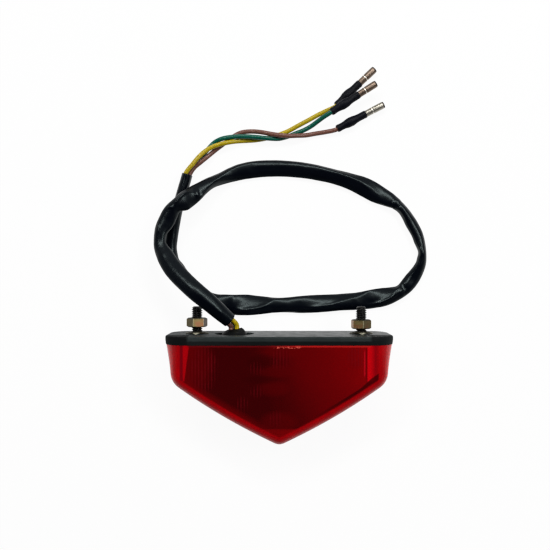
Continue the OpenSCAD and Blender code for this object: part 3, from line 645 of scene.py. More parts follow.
def panel_color(x, y, from_v, cloud):
    """Deep panel in painted light: dark at the left, warmer to the right, with painted reflections
    and shade as clouds and a painted glow as a halo inside the V.
    """
    slant = calc("MULTIPLY_ADD", y, 0.35, x)
    tone = spread(calc("ADD", slant, cloud), 0.0, 1.0, -12.0, 48.0)
    color = ramp(tone, PANEL_PAINTED_TONES)
    # Painted light: a glow at the left and along the tip, then painted reflections and painted
    # shade
    glow = product(rising(x, -32.0, -47.0), rising(y, -12.0, 2.0), 0.75)
    color = blend(glow, color, (0.15, 0.0006, 0.0018))
    color = blend(rising(y, -26.8, -27.8), color, (0.24, 0.0008, 0.002))
    light = patches(x, y, cloud, PANEL_PAINTED_GLOWS, 0.0)
    color = blend(light, color, (0.17, 0.0008, 0.002))
    dark = patches(x, y, cloud, PANEL_PAINTED_GLOOMS, 0.0)
    color = blend(dark, color, (0.036, 0.0005, 0.001))
    painted_halo = product(rising(from_v, 9.0, 5.0), rising(x, 8.0, -18.0), 0.7)
    return blend(painted_halo, color, (0.18, 0.0008, 0.002))


def fluted(tree, color, x, y, cloud):
    """Flutes over a colour, only where the light catches them."""
    wave = calc("SINE", product(x, 2 * math.pi / FLUTE_PITCH))
    lit = patches(x, y, cloud, FLUTE_PATCHES, 0.3)
    fine = rising(noise_node(tree, 260.0, 2.0), 0.35, 0.6)
    fine = calc("MULTIPLY_ADD", fine, 0.6, 0.4)
    crest_highlight = product(rising(wave, -0.2, 0.9), lit, fine, 0.75)
    color = blend(crest_highlight, color, (0.18, 0.004, 0.008))
    valley = product(rising(wave, 0.3, -0.9), lit, 0.25)
    return blend(valley, color, (0.03, 0.0004, 0.001))


def walled(color, x, y):
    """Walls seen through the front, in painted light and shade: a broad facet at the right, a wedge
    at the left.
    """
    above = rising(y, -3.0, -1.5)
    facet = product(rising(x, 45.7, 46.2), above)
    depth = ramp(spread(x, 0.0, 1.0, *FACET_X), FACET_PAINTED_TONES)
    color = blend(facet, color, depth)
    # Painted highlight and painted shade as lines just inside the facet
    height = band(y, 0.5, 13.5, 1.0)
    line = product(band(x, 44.1, 44.8, 0.25), height, 0.8)
    color = blend(line, color, (0.62, 0.005, 0.014))
    line = product(band(x, 45.1, 45.6, 0.2), above, 0.75)
    color = blend(line, color, (0.16, 0.0008, 0.003))
    # The wedge's painted light narrows downwards and has a painted dark outer strip
    narrow = calc("MULTIPLY_ADD", y, -0.136, x)
    wedge = product(rising(narrow, -48.9, -49.7), above)
    color = blend(wedge, color, (0.52, 0.001, 0.005))
    strip = product(rising(x, -49.9, -50.7), above)
    return blend(strip, color, (0.24, 0.001, 0.006))


def bordered(tree, color, x, z, wide, from_v):
    """Painted light on the border along the V and round the ends, and a line of painted shade
    inside it that swells at the right.
    """
    swell = product(rising(x, 42.0, 49.0), 1.1)
    inner = rising(calc("SUBTRACT", from_v, swell), 6.0, 6.7)
    outer = calc("SUBTRACT", 1.0, inner)
    shade = product(outer, rising(x, 12.0, 36.0), 0.85)
    color = blend(shade, color, (0.05, 0.0006, 0.0014))
    gloom = spread(noise_node(tree, 120.0, 2.0), 0.0, 1.0)
    wall = blend(gloom, (0.44, 0.001, 0.004), (0.54, 0.001, 0.004))
    # Sides: painted light brightens the steep walls, with streaks of tone running up them, deeper
    # towards the back
    normal = tree.nodes.new("ShaderNodeTexCoord").outputs["Normal"]
    steep = rising(parts(normal)["Z"], 0.85, 0.3)
    streaks = noise_node(tree, 60.0, 3.0, (1.0, 1.0, 0.12))
    deep = calc("ADD", rising(z, 30.0, 2.0), streaks)
    deep = spread(deep, 0.0, 1.0, 0.4, 1.6)
    sides = blend(deep, (1.0, 0.008, 0.012), (0.5, 0.002, 0.005))
    wall = blend(steep, wall, sides)
    color = blend(rising(from_v, 5.3, 3.9), color, wall)
    return blend(rising(wide, 51.4, 52.4), color, wall)


def lip_lit(tree, color, x, y, wide):
    """Light caught under the lip, with a few sparkles."""
    under = product(band(y, 15.5, 16.4, 0.2), rising(wide, 48.5, 46.5))
    caught = rising(x, -8.0, 14.0)
    caught = blend(caught, (0.16, 0.004, 0.006), (0.60, 0.014, 0.012))
    color = blend(under, color, caught)
    grain = rising(noise_node(tree, 1300.0, 1.0), 0.5, 0.62)
    spark = product(grain, band(x, -2.5, 11.0, 0.8), band(y, 14.9, 15.9, 0.2))
    return blend(spark, color, (0.95, 0.13, 0.09))


def lens_material():
    """Clear red moulding in painted light and shade: deep fluted panel, walls and edges that gather
    the light.
    """
    mat, tree, shader = material("lens_red", (0.4, 0.001, 0.004), 0.07)
    x, y, z, wide, from_v = lens_places(tree)
    cloud = calc("MULTIPLY_ADD", noise_node(tree, 70.0, 3.0), 12.0, -6.0)
    color = panel_color(x, y, from_v, cloud)
    color = fluted(tree, color, x, y, cloud)
    color = walled(color, x, y)
    color = bordered(tree, color, x, z, wide, from_v)
    color = lip_lit(tree, color, x, y, wide)
    feed(shader, "Base Color", color)
    gloss = noise_node(tree, 90.0, 2.0)
    feed(shader, "Roughness", spread(gloss, 0.05, 0.1))
    shader.inputs["Transmission Weight"].default_value = 0.3
    shader.inputs["IOR"].default_value = 1.49
    shader.inputs["Specular IOR Level"].default_value = 0.2
    return mat


LENS_RED = lens_material()


def edge_inset(z, depth, front_r, back_r):
    """Inset of a rounded edge at height z of a slab."""
    if z > depth - front_r:
        return front_r - math.sqrt(max(0.0, front_r**2 - (z - depth + front_r) ** 2))
    if z < back_r:
        return back_r - math.sqrt(max(0.0, back_r**2 - (back_r - z) ** 2))
    return 0.0


def round_corner(a, p, b, r, n):
    """Points of an arc of radius r in the corner at p."""
    u = (a - p).normalized()
    w = (b - p).normalized()
    half = math.acos(u.dot(w)) / 2
    middle = p + (u + w).normalized() * r / math.sin(half)
    start = p + u * r / math.tan(half) - middle
    end = p + w * r / math.tan(half) - middle
    a0 = math.atan2(start.y, start.x)
    turn = (math.atan2(end.y, end.x) - a0 + math.pi) % (2 * math.pi) - math.pi
    return [
        middle + r * Vector((math.cos(a0 + turn * i / n), math.sin(a0 + turn * i / n)))
        for i in range(n + 1)
    ]


def bowed(a, b, n):
    """Points of the V's bowed side, between a at the shoulder and b at the tip."""
    gap = b - a
    turn = V_START.x * V_END.y - V_START.y * V_END.x
    c = a + V_START * (gap.x * V_END.y - gap.y * V_END.x) / turn
    shares = [i / n for i in range(1, n)]
    return [a * (1 - u) ** 2 + c * 2 * u * (1 - u) + b * u**2 for u in shares]


def mirrored(points):
    """Outline points of the left half, from those of the right."""
    return [Vector((-p.x, p.y)) for p in reversed(points)]


# Shares of the way up the lens's sides at which its outline has points
SIDE_ROWS = [0.0, 0.04, 0.1, 0.2, 0.4, 0.6, 0.8, 0.9, 0.95, 0.98, 1.0]


def lens_outline(side, edge, wall, v_steps):
    """Outline from the top right over the top left, round the V and up the right side."""
    cut = RIM_HW - wall / -SIDE_IN.x - side
    start_in = inward(V_START)
    s = Vector((SHOULDER_HW, SHOULDER_Y))
    s += edge * (SIDE_IN + start_in) / (1 + SIDE_IN.dot(start_in))
    t = Vector((0.0, TIP_Y - edge / V_END.x))
    top = Vector((cut, RIM_Y))
    shoulder = round_corner(s + V_START, s, top, max(0.6, SHOULDER_R - edge), 14)
    tip_left = t + Vector((V_END.x, -V_END.y))
    tip = round_corner(tip_left, t, t - V_END, max(0.5, TIP_R - edge), 12)
    half = bowed(shoulder[0], tip[-1], v_steps)[::-1] + shoulder
    half += [shoulder[-1].lerp(top, k) for k in SIDE_ROWS[1:-1]]
    return [top, Vector((-cut, RIM_Y))] + mirrored(half) + tip + half


def drafted(z, y):
    """Depth after the front face's lean."""
    return z * (1 - math.tan(math.radians(FRONT_DRAFT)) / LENS_D * (RIM_Y - y))


def lens_rings(wall, v_steps, steps):
    """Sections of the lens from back to front, a wall inside its outer face."""
    r = RIM_R - wall
    turns = [90 * (1 - k / steps) for k in range(steps + 1)]
    depths = [wall + r * (1 - math.sin(math.radians(a))) for a in turns]
    depths += [LENS_D - wall - (d - wall) for d in reversed(depths)]
    rings = []
    for z in depths:
        inner = LENS_D - 2 * wall
        side = edge_inset(z - wall, inner, r, r)
        edge = edge_inset(z - wall, inner, V_FRONT_R - wall, V_BACK_R - wall) + wall
        ring = lens_outline(side, edge, wall, v_steps)
        rings.append([(p.x, p.y, drafted(z, p.y)) for p in ring])
    return rings


def flute_rise(x):
    """Height of the rounded flutes inside the front face."""
    share = (x / FLUTE_PITCH) % 1.0
    return FLUTE_DEPTH * (1 - (2 * share - 1) ** 2)


def wall_faces(rows, cols, start=0):
    """Quads between rings that stay open between their first two points, along the rim."""
    quads = grid_faces(rows, cols, start)
    return [quad for i, quad in enumerate(quads) if i % cols]


def fluted_front(ring, first, count):
    """Points and quads that close a ring with flutes, in columns from the V up to the rim.

    The ring's points are numbered from first, and the new ones from count."""
    rows = len(SIDE_ROWS)
    side_n = rows - 2
    right_end = len(ring) - side_n
    bottom = list(range(2 + side_n, right_end))
    left_x, right_x = ring[1][0], ring[0][0]
    verts, columns = [], []
    for c, i in enumerate(bottom):
        low = Vector(ring[i])
        share = c / (len(bottom) - 1)
        lean = smoothstep(0.86, 1.0, abs(2 * share - 1))
        top_x = low.x + lean * ((right_x if low.x > 0 else left_x) - low.x)
        column = [first + i]
        for r in range(1, rows):
            if c == 0:
                column.append(first + 1 if r == rows - 1 else first + 2 + side_n - r)
                continue
            if c == len(bottom) - 1:
                column.append(first if r == rows - 1 else first + right_end + r - 1)
                continue
            up = SIDE_ROWS[r]
            y = low.y + (RIM_Y - low.y) * up
            x = low.x + (top_x - low.x) * up
            z = drafted(LENS_D - LENS_WALL, y)
            fade = smoothstep(0.02, 0.12, up) * (1 - smoothstep(0.8, 0.9, up))
            column.append(count + len(verts))
            verts.append((x, y, z - flute_rise(x) * fade * (1 - lean)))
        columns.append(column)
    faces = []
    for a, b in zip(columns, columns[1:]):
        for r in range(rows - 1):
            faces.append((a[r], a[r + 1], b[r + 1], b[r]))
    return verts, faces


def build_lens():
    """Hollow lens, open at the rim, with flutes inside its front face."""
    outer = lens_rings(0.0, v_steps=24, steps=20)
    inner = lens_rings(LENS_WALL, v_steps=170, steps=12)
    n, k = len(outer[0]), len(inner[0])
    start = n * len(outer)
    verts = [p for ring in outer + inner for p in ring]
    faces = wall_faces(len(outer), n)
    faces.append(tuple(range(n)))
    faces.append(tuple(start - n + i for i in reversed(range(n))))
    faces += wall_faces(len(inner), k, start)
    faces.append(tuple(start + i for i in reversed(range(k))))
    flutes, quads = fluted_front(inner[-1], len(verts) - k, len(verts))
    verts += flutes
    faces += quads
    obj = add_mesh("lens_shell", verts, faces, LENS_RED)
    sharpen(obj, 40)
    return put(obj, HOUSING, "lens_red", "lens")


build_lens()


# Studs, nuts and washers


def build_stud(name, x, node):
    """Threaded shank with a chamfered end over a hexagon head."""
    pitch, root_r, end_r, n = 1.0, 2.3, 1.95, 48
    low, high, step = RIM_Y - 2.0, STUD_END, 0.1
    rows = round((high - low) / step)
    verts, crest_highlight = [], []
    for j in range(rows + 1):
        y = low + (high - low) * j / rows
        limit = min(STUD_R, end_r + high - y)
        for i, a in enumerate(round_places(n)):
            share = (y / pitch - i / n) % 1.0
            # Ridges with flat crests and roots
            height = 1 - abs(2 * share - 1)
            profile = min(1.0, max(0.0, height * 1.3 - 0.2))
            r = min(limit, root_r + (STUD_R - root_r) * profile)
            verts.append(upright(x, r, a, y))
            # Painted highlight on the thread's crests
            crest_highlight.append(profile if r < limit else 0.0)
    faces = capped_faces(rows + 1, n)
    # Hexagon head in its pocket: depth below the rim and size across flats
    head = len(verts)
    for drop, flats in ((4.0, 9.4), (3.7, 10.0), (0.05, 10.0)):
        for i in range(6):
            r = flats / 2 / math.cos(math.radians(30))
            verts.append(upright(x, r, math.radians(60 * i + 30), RIM_Y - drop))
            crest_highlight.append(0.3)
    faces += capped_faces(3, 6, head)
    obj = add_mesh(name, verts, faces, BOLT_BLACK)
    point_values(obj, "crest_highlight", crest_highlight)
    sharpen(obj, 50)
    return put(obj, HOUSING, "bolt_black", node)


SIDES = {"left": -STUD_X, "right": STUD_X}

for side, x in SIDES.items():
    build_stud(f"{side}_threaded_stud", x, f"{side}_stud_bolt")

# Each nut's height over the base, its turn, and the painted shade of its faces, from the one at
# the right of the front
NUTS = {
    "left": (LEFT_NUT_LIFT, LEFT_NUT_TURN, (0.10, 0.35, 0.6, 0.45, 0.26, 1.0)),
    "right": (RIGHT_NUT_LIFT, RIGHT_NUT_TURN, (0.26, 0.35, 0.5, 0.4, 0.9, 0.56)),
}


def build_nut(name, x, lift, turn, shades, node):
    """Hexagon nut with turned chamfers on both faces and a countersunk bore."""
    n, bore = 144, STUD_R + 0.04
    sink_r, sink_h = bore + 0.55, 0.6
    # Radius at which the chamfers start, and play that keeps the nut inside its CAD shape
    face_r, play = NUT_AF / 2 * 0.95, 0.02
    steps = [0.0, 0.06, 0.12, 0.2, 0.28, 0.36, 0.45, 0.54, 0.64, 0.75]
    heights = steps + [NUT_H - s for s in reversed(steps)]
    rows = [[(bore, sink_h)] * n, [(sink_r, 0.0)] * n]
    for h in heights:
        reach = face_r + math.sqrt(3) * min(h, NUT_H - h)
        row = []
        for i in range(n):
            a = (360 * i / n) % 60
            hexagon = NUT_AF / 2 / math.cos(math.radians(a - 30))
            row.append((min(hexagon - play, reach), h))
        rows.append(row)
    rows += [[(sink_r, NUT_H)] * n, [(bore, NUT_H - sink_h)] * n]
    # Faces carry painted shade, darkest on the chamfers, and the corners carry a painted highlight
    count = len(shades)
    verts, shade, edge = [], [], []
    for row in rows:
        for i, (r, h) in enumerate(row):
            a = math.radians(360 * i / n + 30 + turn)
            verts.append(upright(x, r, a, BASE_TOP + lift + h))
            flat = smoothstep(0.3, 0.75, min(h, NUT_H - h))
            corner = 1 - min(i * count % n, -i * count % n) / count
            shade.append(shades[i * count // n] * (0.12 + 0.88 * flat))
            edge.append(0.55 * max(0.0, corner) * flat)
    obj = add_mesh(name, verts, looped_faces(len(rows), n), NUT_ZINC)
    point_values(obj, "shade", shade)
    point_values(obj, "edge", edge)
    sharpen(obj, 24)
    return put(obj, node, "nut_zinc", node)


for side, x in SIDES.items():
    build_nut(f"{side}_hex_nut", x, *NUTS[side], f"{side}_nut")


def build_washer(name, x, node):
    """Square dished washer with rounded corners, a corner towards the front."""
    n, hole = 96, STUD_R + 0.05
    reach = WASHER_SIDE / math.sqrt(2)
    rise = WASHER_DISH / (reach - hole)

    def side_r(a):
        """Distance to the square's rounded outline."""
        half = WASHER_SIDE / 2
        part = (math.degrees(a) + 45) % 90 - 45
        square = half / max(math.cos(math.radians(45 - abs(part))), 0.72)
        return min(square, reach * 0.97)

    # Under side, out from the hole: share of the way to the outline, share of the thickness
    rim = [(0.0, 0.0), (0.5, 0.0), (0.94, 0.0), (1.0, 0.14)]
    rows = []
    for share, level in rim + [(share, 1 - level) for share, level in reversed(rim)]:
        row = []
        for a in round_places(n):
            r = hole + (side_r(a) - hole) * share
            low = WASHER_DISH - rise * (r - hole)
            thick = WASHER_T * (1 - 0.3 * smoothstep(hole, reach, r))
            row.append((r, low + thick * level))
        rows.append(row)
    verts, painted_glint = [], []
    for row in rows:
        for a, (r, h) in zip(round_places(n), row):
            verts.append(upright(x, r, a, BASE_TOP + h))
            # Painted highlight towards the outline, strongest at the front corner
            glint_reach = smoothstep(0.74, 0.92, r / reach)
            painted_glint.append(glint_reach * (0.2 + 0.8 * smoothstep(0.5, 0.9, math.cos(a))))
    obj = add_mesh(name, verts, looped_faces(len(rows), n), WASHER_ZINC)
    point_values(obj, "painted_glint", painted_glint)
    sharpen(obj, 35)
    return put(obj, HOUSING, "zinc_yellow", node)


for side, x in SIDES.items():
    build_washer(f"{side}_square_washer", x, f"{side}_spring_washer")


# Wire plug: a lumpy hand-set dome in the recess, over a stem through the base

DOME_HALF, DOME_LONG, DOME_SHIFT = 6.9, 9.2, 1.0
STEM_R = 5.4


def dome_height(dx, dz):
    """Height of the dome above the recess floor at an offset from the outlet."""
    a = max(0.0, 1 - (dx / DOME_HALF) ** 2 - ((dz - DOME_SHIFT) / DOME_LONG) ** 2)
    rise = 4.0 * a**0.45
    # Lobe at the right, wrinkles across it and a slight unevenness
    rise += 1.5 * math.exp(-((dx - 4.6) ** 2 / 4.5 + (dz - 2.5) ** 2 / 16)) * a**0.3
    rise += 0.16 * math.sin(4.4 * (dx + 0.5 * dz)) * smoothstep(1.0, 3.0, dx) * a**0.5
    rise += 0.35 * noise.noise(Vector((dx * 0.5, dz * 0.5, 3.1))) * a**0.4
    return rise


def build_dome():
    """Rubber plug of the wire outlet."""
    n, rings = 72, 22
    floor_y = BASE_TOP - RECESS_T
    verts = [(OUTLET_X, floor_y + dome_height(0, DOME_SHIFT), STUD_Z + DOME_SHIFT)]
    for j in range(1, rings + 1):
        share = math.sin(math.pi / 2 * j / rings)
        for a in round_places(n):
            dx = DOME_HALF * share * math.cos(a)
            dz = DOME_SHIFT + DOME_LONG * share * math.sin(a)
            verts.append((OUTLET_X + dx, floor_y + dome_height(dx, dz), STUD_Z + dz))
    faces = [(0, 1 + (i + 1) % n, 1 + i) for i in range(n)]
    faces += grid_faces(rings, n, 1)
    faces.append(tuple(1 + (rings - 1) * n + i for i in range(n)))
    stem = len(verts)
    for y in (RIM_Y + 0.02, floor_y + 0.4):
        for a in round_places(n):
            verts.append((OUTLET_X + STEM_R * math.cos(a), y, STUD_Z + STEM_R * math.sin(a)))
    faces += capped_faces(2, n, stem)
    obj = add_mesh("wire_plug_dome", verts, faces, GROMMET_RUBBER)
    sharpen(obj, 60)
    return put(obj, HOUSING, "grommet_rubber", "wire_grommet")


build_dome()


# Sleeve

# Stations along it: x, y and clear height
SLEEVE_ROUTE = [
    (-27, 28.5, 19.5), (-33, 34, 22.6), (-38.5, 39, 24.3), (-44.5, 44, 24.2), (-51.5, 50, 21.6),
    (-58, 56.5, 18), (-63, 63.5, 14), (-66.5, 71, 10.5), (-66.5, 78, 9.8), (-63.5, 84.5, 9.8),
    (-58.5, 92, 9.8), (-53.5, 96, 9.4), (-48, 99, 6), (-37, 106, 1.5), (-28, 110, 0),
    (-16, 113.5, 0), (-4, 114.5, 0), (10, 114, 0), (25.5, 111.5, 0), (37, 108, 0), (47, 104.5, 0),
    (57.5, 99.5, 0), (68.9, 92.7, 0), (75.5, 82.7, 0), (80.5, 72.5, 0), (82, 64.4, 0),
    (78.9, 55.2, 0), (73.8, 47.1, 0), (65.1, 41.5, 0), (52.5, 39.2, 0), (34, 37.6, 0),
    (12.5, 36.6, 0), (-4, 35.7, 0), (-17.5, 36, 0), (-27.5, 36, 0), (-37, 38.5, 0), (-45, 44, 0),
    (-52.5, 51, 0), (-58.5, 59.5, 0), (-61, 67.5, 0), (-60.5, 75, 0), (-59.5, 83, 0),
    (-58, 90, 0), (-56, 97, 0), (-54, 103.5, 0), (-52, 110.5, 0),
]

# Form at a station: reach to the left, reach to the right, height, lean, crispness,
# angle of the ridge, angle of the second crease, rise of the second crease
SLEEVE_FORM = [
    (0, 4.0, 4.0, 7.0, 0.0, 0.0, 143, 300, 0.0),
    (1, 4.5, 4.6, 6.2, 0.05, 0.0, 143, 300, 0.0),
    (2, 4.9, 4.9, 5.2, 0.1, 0.0, 143, 300, 0.0),
    (3, 5.1, 4.9, 5.0, 0.12, 0.0, 143, 300, 0.0),
    (4, 5.1, 5.1, 4.8, 0.12, 0.0, 143, 300, 0.0),
    (5, 5.2, 5.2, 4.8, 0.1, 0.0, 143, 300, 0.0),
    (6, 4.8, 4.9, 5.2, 0.05, 0.1, 140, 300, 0.0),
    (6.5, 4.3, 4.2, 5.6, 0.0, 0.2, 138, 300, 0.0),
    (7, 3.6, 3.4, 6.2, 0.0, 0.3, 138, 300, 0.0),
    (7.5, 3.1, 3.7, 6.4, 0.0, 0.3, 140, 300, 0.0),
    (8, 3.1, 4.6, 6.4, 0.0, 0.3, 145, 300, 0.0),
    (8.5, 3.5, 5.5, 6.2, 0.0, 0.3, 150, 300, 0.0),
    (9, 3.8, 5.8, 6.0, 0.0, 0.3, 155, 300, 0.0),
    (9.5, 3.9, 5.2, 6.0, 0.04, 0.3, 130, 300, 0.0),
    (9.8, 3.5, 4.4, 6.2, 0.08, 0.38, 112, 300, 0.0),
    (10.2, 3.0, 5.0, 6.2, 0.12, 0.45, 93, 300, 0.0),
    (10.5, 3.3, 6.5, 6.0, 0.16, 0.5, 78, 300, 0.0),
    (11, 3.8, 6.8, 5.6, 0.16, 0.5, 63, 300, 0.0),
    (11.5, 4.4, 6.3, 5.4, 0.12, 0.5, 63, 300, 0.0),
    (12, 4.9, 5.2, 5.6, 0.0, 0.5, 105, 300, 0.0),
    (12.25, 5.0, 4.5, 6.0, -0.1, 0.55, 150, 300, 0.0),
    (12.5, 4.7, 3.5, 6.6, -0.1, 0.6, 132, 300, 0.0),
    (12.75, 4.3, 2.8, 7.4, 0.0, 0.6, 112, 290, 0.0),
    (13, 3.8, 2.8, 8.0, 0.1, 0.6, 94, 275, 0.0),
    (13.5, 3.7, 3.3, 7.6, 0.15, 0.6, 74, 255, 0.0),
    (14, 4.4, 3.7, 6.8, 0.15, 0.55, 58, 240, 0.0),
    (14.5, 4.9, 4.3, 6.0, 0.1, 0.5, 48, 230, 0.0),
    (15, 4.9, 4.9, 5.4, 0.05, 0.45, 42, 222, 0.0),
    (16, 4.7, 4.9, 5.2, 0.0, 0.4, 40, 220, 0.0),
    (17, 4.4, 4.9, 5.4, 0.0, 0.4, 42, 222, 0.0),
    (18, 4.0, 4.7, 5.8, 0.0, 0.45, 48, 230, 0.0),
    (18.5, 4.1, 4.4, 6.0, 0.0, 0.5, 54, 236, 0.0),
    (19, 4.7, 4.3, 5.8, 0.0, 0.5, 60, 242, 0.0),
    (19.5, 5.1, 4.7, 5.2, 0.0, 0.45, 66, 248, 0.0),
    (20, 5.6, 5.3, 4.6, 0.0, 0.45, 74, 255, 0.0),
    (20.4, 5.7, 5.7, 4.2, 0.0, 0.42, 92, 265, 0.0),
    (20.75, 5.4, 5.9, 4.4, 0.0, 0.4, 112, 275, 0.0),
    (21, 5.1, 5.6, 4.8, 0.0, 0.4, 132, 285, 0.0),
    (21.5, 4.1, 4.6, 6.2, 0.0, 0.35, 156, 300, 0.0),
    (21.75, 3.2, 3.8, 7.4, 0.0, 0.4, 164, 310, 0.0),
    (22, 2.9, 3.2, 8.2, 0.0, 0.35, 168, 130, 0.0),
    (22.25, 3.0, 2.8, 8.6, 0.0, 0.35, 168, 130, -0.2),
    (22.5, 3.4, 2.7, 8.4, 0.0, 0.4, 168, 130, -0.35),
    (23, 4.0, 3.1, 7.8, 0.0, 0.45, 170, 130, -0.5),
    (23.5, 3.9, 2.9, 7.8, 0.0, 0.45, 170, 132, -0.5),
    (24, 3.3, 3.1, 8.2, 0.0, 0.45, 172, 132, -0.55),
    (24.5, 2.8, 2.4, 8.8, 0.0, 0.45, 172, 130, -0.4),
    (24.75, 2.5, 2.1, 9.2, 0.0, 0.4, 174, 130, -0.2),
    (25, 2.6, 2.5, 9.0, 0.0, 0.45, 174, 128, -0.4),
    (25.25, 3.0, 2.7, 8.6, 0.0, 0.45, 174, 126, -0.5),
    (25.5, 3.6, 2.4, 8.4, 0.0, 0.45, 176, 122, -0.5),
    (26, 4.1, 3.3, 7.4, 0.0, 0.5, 176, 116, -0.5),
    (26.5, 4.1, 4.4, 6.6, 0.05, 0.55, 176, 110, -0.45),
    (27, 3.9, 4.4, 6.8, 0.1, 0.55, 170, 112, -0.35),
    (27.5, 3.9, 3.5, 7.2, 0.15, 0.55, 140, 200, 0.0),
    (28, 4.2, 5.1, 5.6, 0.15, 0.5, 92, 215, 0.0),
    (28.5, 5.1, 5.8, 4.4, 0.2, 0.5, 60, 185, 0.0),
    (29, 5.5, 5.5, 4.2, -0.05, 0.5, 36, 150, 0.1),
    (29.5, 5.2, 4.8, 4.8, 0.12, 0.5, 10, 102, 0.1),
    (30, 4.9, 4.7, 5.2, 0.2, 0.48, -20, 72, 0.1),
    (30.5, 5.4, 4.9, 4.8, 0.16, 0.45, -60, 60, 0.1),
    (31, 5.4, 4.6, 5.0, -0.06, 0.4, -150, 48, 0.1),
    (31.5, 4.4, 4.3, 6.0, -0.04, 0.42, -190, 30, 0.1),
    (31.75, 4.1, 4.3, 6.2, 0.05, 0.45, -208, 15, 0.0),
    (32, 4.3, 4.6, 5.8, 0.12, 0.48, -234, 0, 0.0),
    (32.3, 4.9, 5.2, 5.0, 0.2, 0.5, -268, -20, 0.0),
    (32.6, 5.5, 5.5, 4.2, 0.27, 0.5, -290, -50, 0.0),
    (33, 6.0, 6.0, 3.8, 0.3, 0.48, -302, -80, 0.0),
    (33.5, 5.9, 6.2, 3.8, 0.1, 0.5, -312, -110, 0.0),
    (34, 5.5, 6.1, 4.2, -0.18, 0.4, -318, -130, 0.0),
    (34.5, 5.0, 5.4, 5.0, 0.0, 0.3, -320, -135, 0.0),
    (35, 4.4, 4.1, 6.4, 0.0, 0.3, -320, -135, 0.0),
    (35.5, 3.8, 3.1, 7.6, 0.0, 0.3, -320, -135, 0.0),
    (36, 3.5, 3.1, 8.0, 0.0, 0.3, -320, -135, 0.0),
    (37, 3.4, 3.1, 8.2, 0.0, 0.3, -320, -135, 0.0),
    (37.8, 3.3, 3.4, 8.2, 0.0, 0.3, -318, -135, 0.0),
    (38.25, 3.8, 2.1, 8.0, 0.0, 0.3, -316, -135, 0.0),
    (38.6, 4.6, 2.5, 7.2, 0.0, 0.3, -315, -135, 0.0),
    (39.5, 4.9, 2.6, 7.0, 0.0, 0.3, -315, -135, 0.0),
    (40.4, 4.6, 2.8, 7.2, 0.0, 0.3, -315, -135, 0.0),
    (41, 3.8, 3.0, 7.8, 0.0, 0.3, -315, -135, 0.0),
    (42, 3.3, 2.8, 8.4, 0.0, 0.3, -315, -135, 0.0),
    (43, 3.5, 2.8, 8.6, 0.0, 0.25, -315, -135, 0.0),
    (44, 3.6, 2.7, 8.6, 0.0, 0.15, -315, -135, 0.0),
    (45, 3.4, 2.6, 8.6, 0.0, 0.0, -315, -135, 0.0),
]

# Creases that stand up along the tube: rise, half width, and station and place across it
CREASES = [
    (
        0.42,
        2.0,
        [(0.3, -0.1), (1, -0.4), (2, -0.2), (3, -0.7), (4, -0.9), (5, -0.6), (6, 0.2), (6.6, 1.0)],
    ),
    (0.2, 0.6, [(8.57, 2.2), (8.07, 0.8), (7.65, -0.1)]),
    (0.35, 0.6, [(9.6, 2.2), (9.78, 0.7), (9.88, -1.4)]),
    (
        0.45,
        0.7,
        [(9.9, -1.7), (10.22, -0.2), (10.65, 1.1), (11.03, 1.8), (11.3, 2.1), (11.72, 1.7)],
    ),
    (0.4, 0.6, [(12.22, 1.5), (12.15, -0.9), (11.97, -3.4)]),
    (
        0.3,
        1.7,
        [(15.0, 1.6), (17.5, 1.6), (19.5, 1.9), (20, 1.6), (20.5, 0.8), (20.9, -0.9), (21.3, -2.4)],
    ),
    (0.35, 0.9, [(27.2, -1.9), (27.5, -0.7), (28.0, 0.5), (28.6, 2.3), (29.3, 3.6)]),
    (0.35, 1.0, [(29.3, -3.0), (29.9, -0.5), (30.2, 1.0), (30.6, 2.0), (30.9, 1.9)]),
    (0.35, 1.0, [(31.85, -2.2), (32.2, 0.0), (32.6, 1.6), (33.0, 2.4), (33.4, 2.5), (33.9, 1.2)]),
    (0.3, 0.8, [(42.2, 0.4), (43.2, 0.4), (44.6, 0.5)]),
]

# Share of a section that goes flat at full crispness, and how far its ridge stands out
FLATTEST, RIDGE_LIFT = 0.8, 0.12
SLEEVE_WALL, SLEEVE_STEP, FLOOR_GAP = 0.55, 0.5, 0.02
# Rings inside each mouth
MOUTH_RINGS = 32
# Slow and fine unevenness: size, waves along the tube and round it, shift
SWELLS = [(0.10, 0.1, 1, 0), (0.05, 0.35, 2, 7)]


def form_at(station):
    """Row of the form at a place between two stations."""
    for a, b in zip(SLEEVE_FORM, SLEEVE_FORM[1:]):
        if station <= b[0]:
            k = (station - a[0]) / (b[0] - a[0])
            return [x + (y - x) * k for x, y in zip(a, b)]
    return list(SLEEVE_FORM[-1])


def eased(rows, reach):
    """Rows averaged with their neighbours along the tube."""
    result = []
    for i in range(len(rows)):
        near = rows[max(0, i - reach):i + reach + 1]
        result.append([sum(column) / len(near) for column in zip(*near)])
    return result


def heading(points, i):
    """Direction of a line at one of its points."""
    return (points[min(i + 1, len(points) - 1)] - points[max(i - 1, 0)]).normalized()


def across(t):
    """Level direction to the left of a heading."""
    return Vector((-t.y, t.x, 0.0)).normalized()


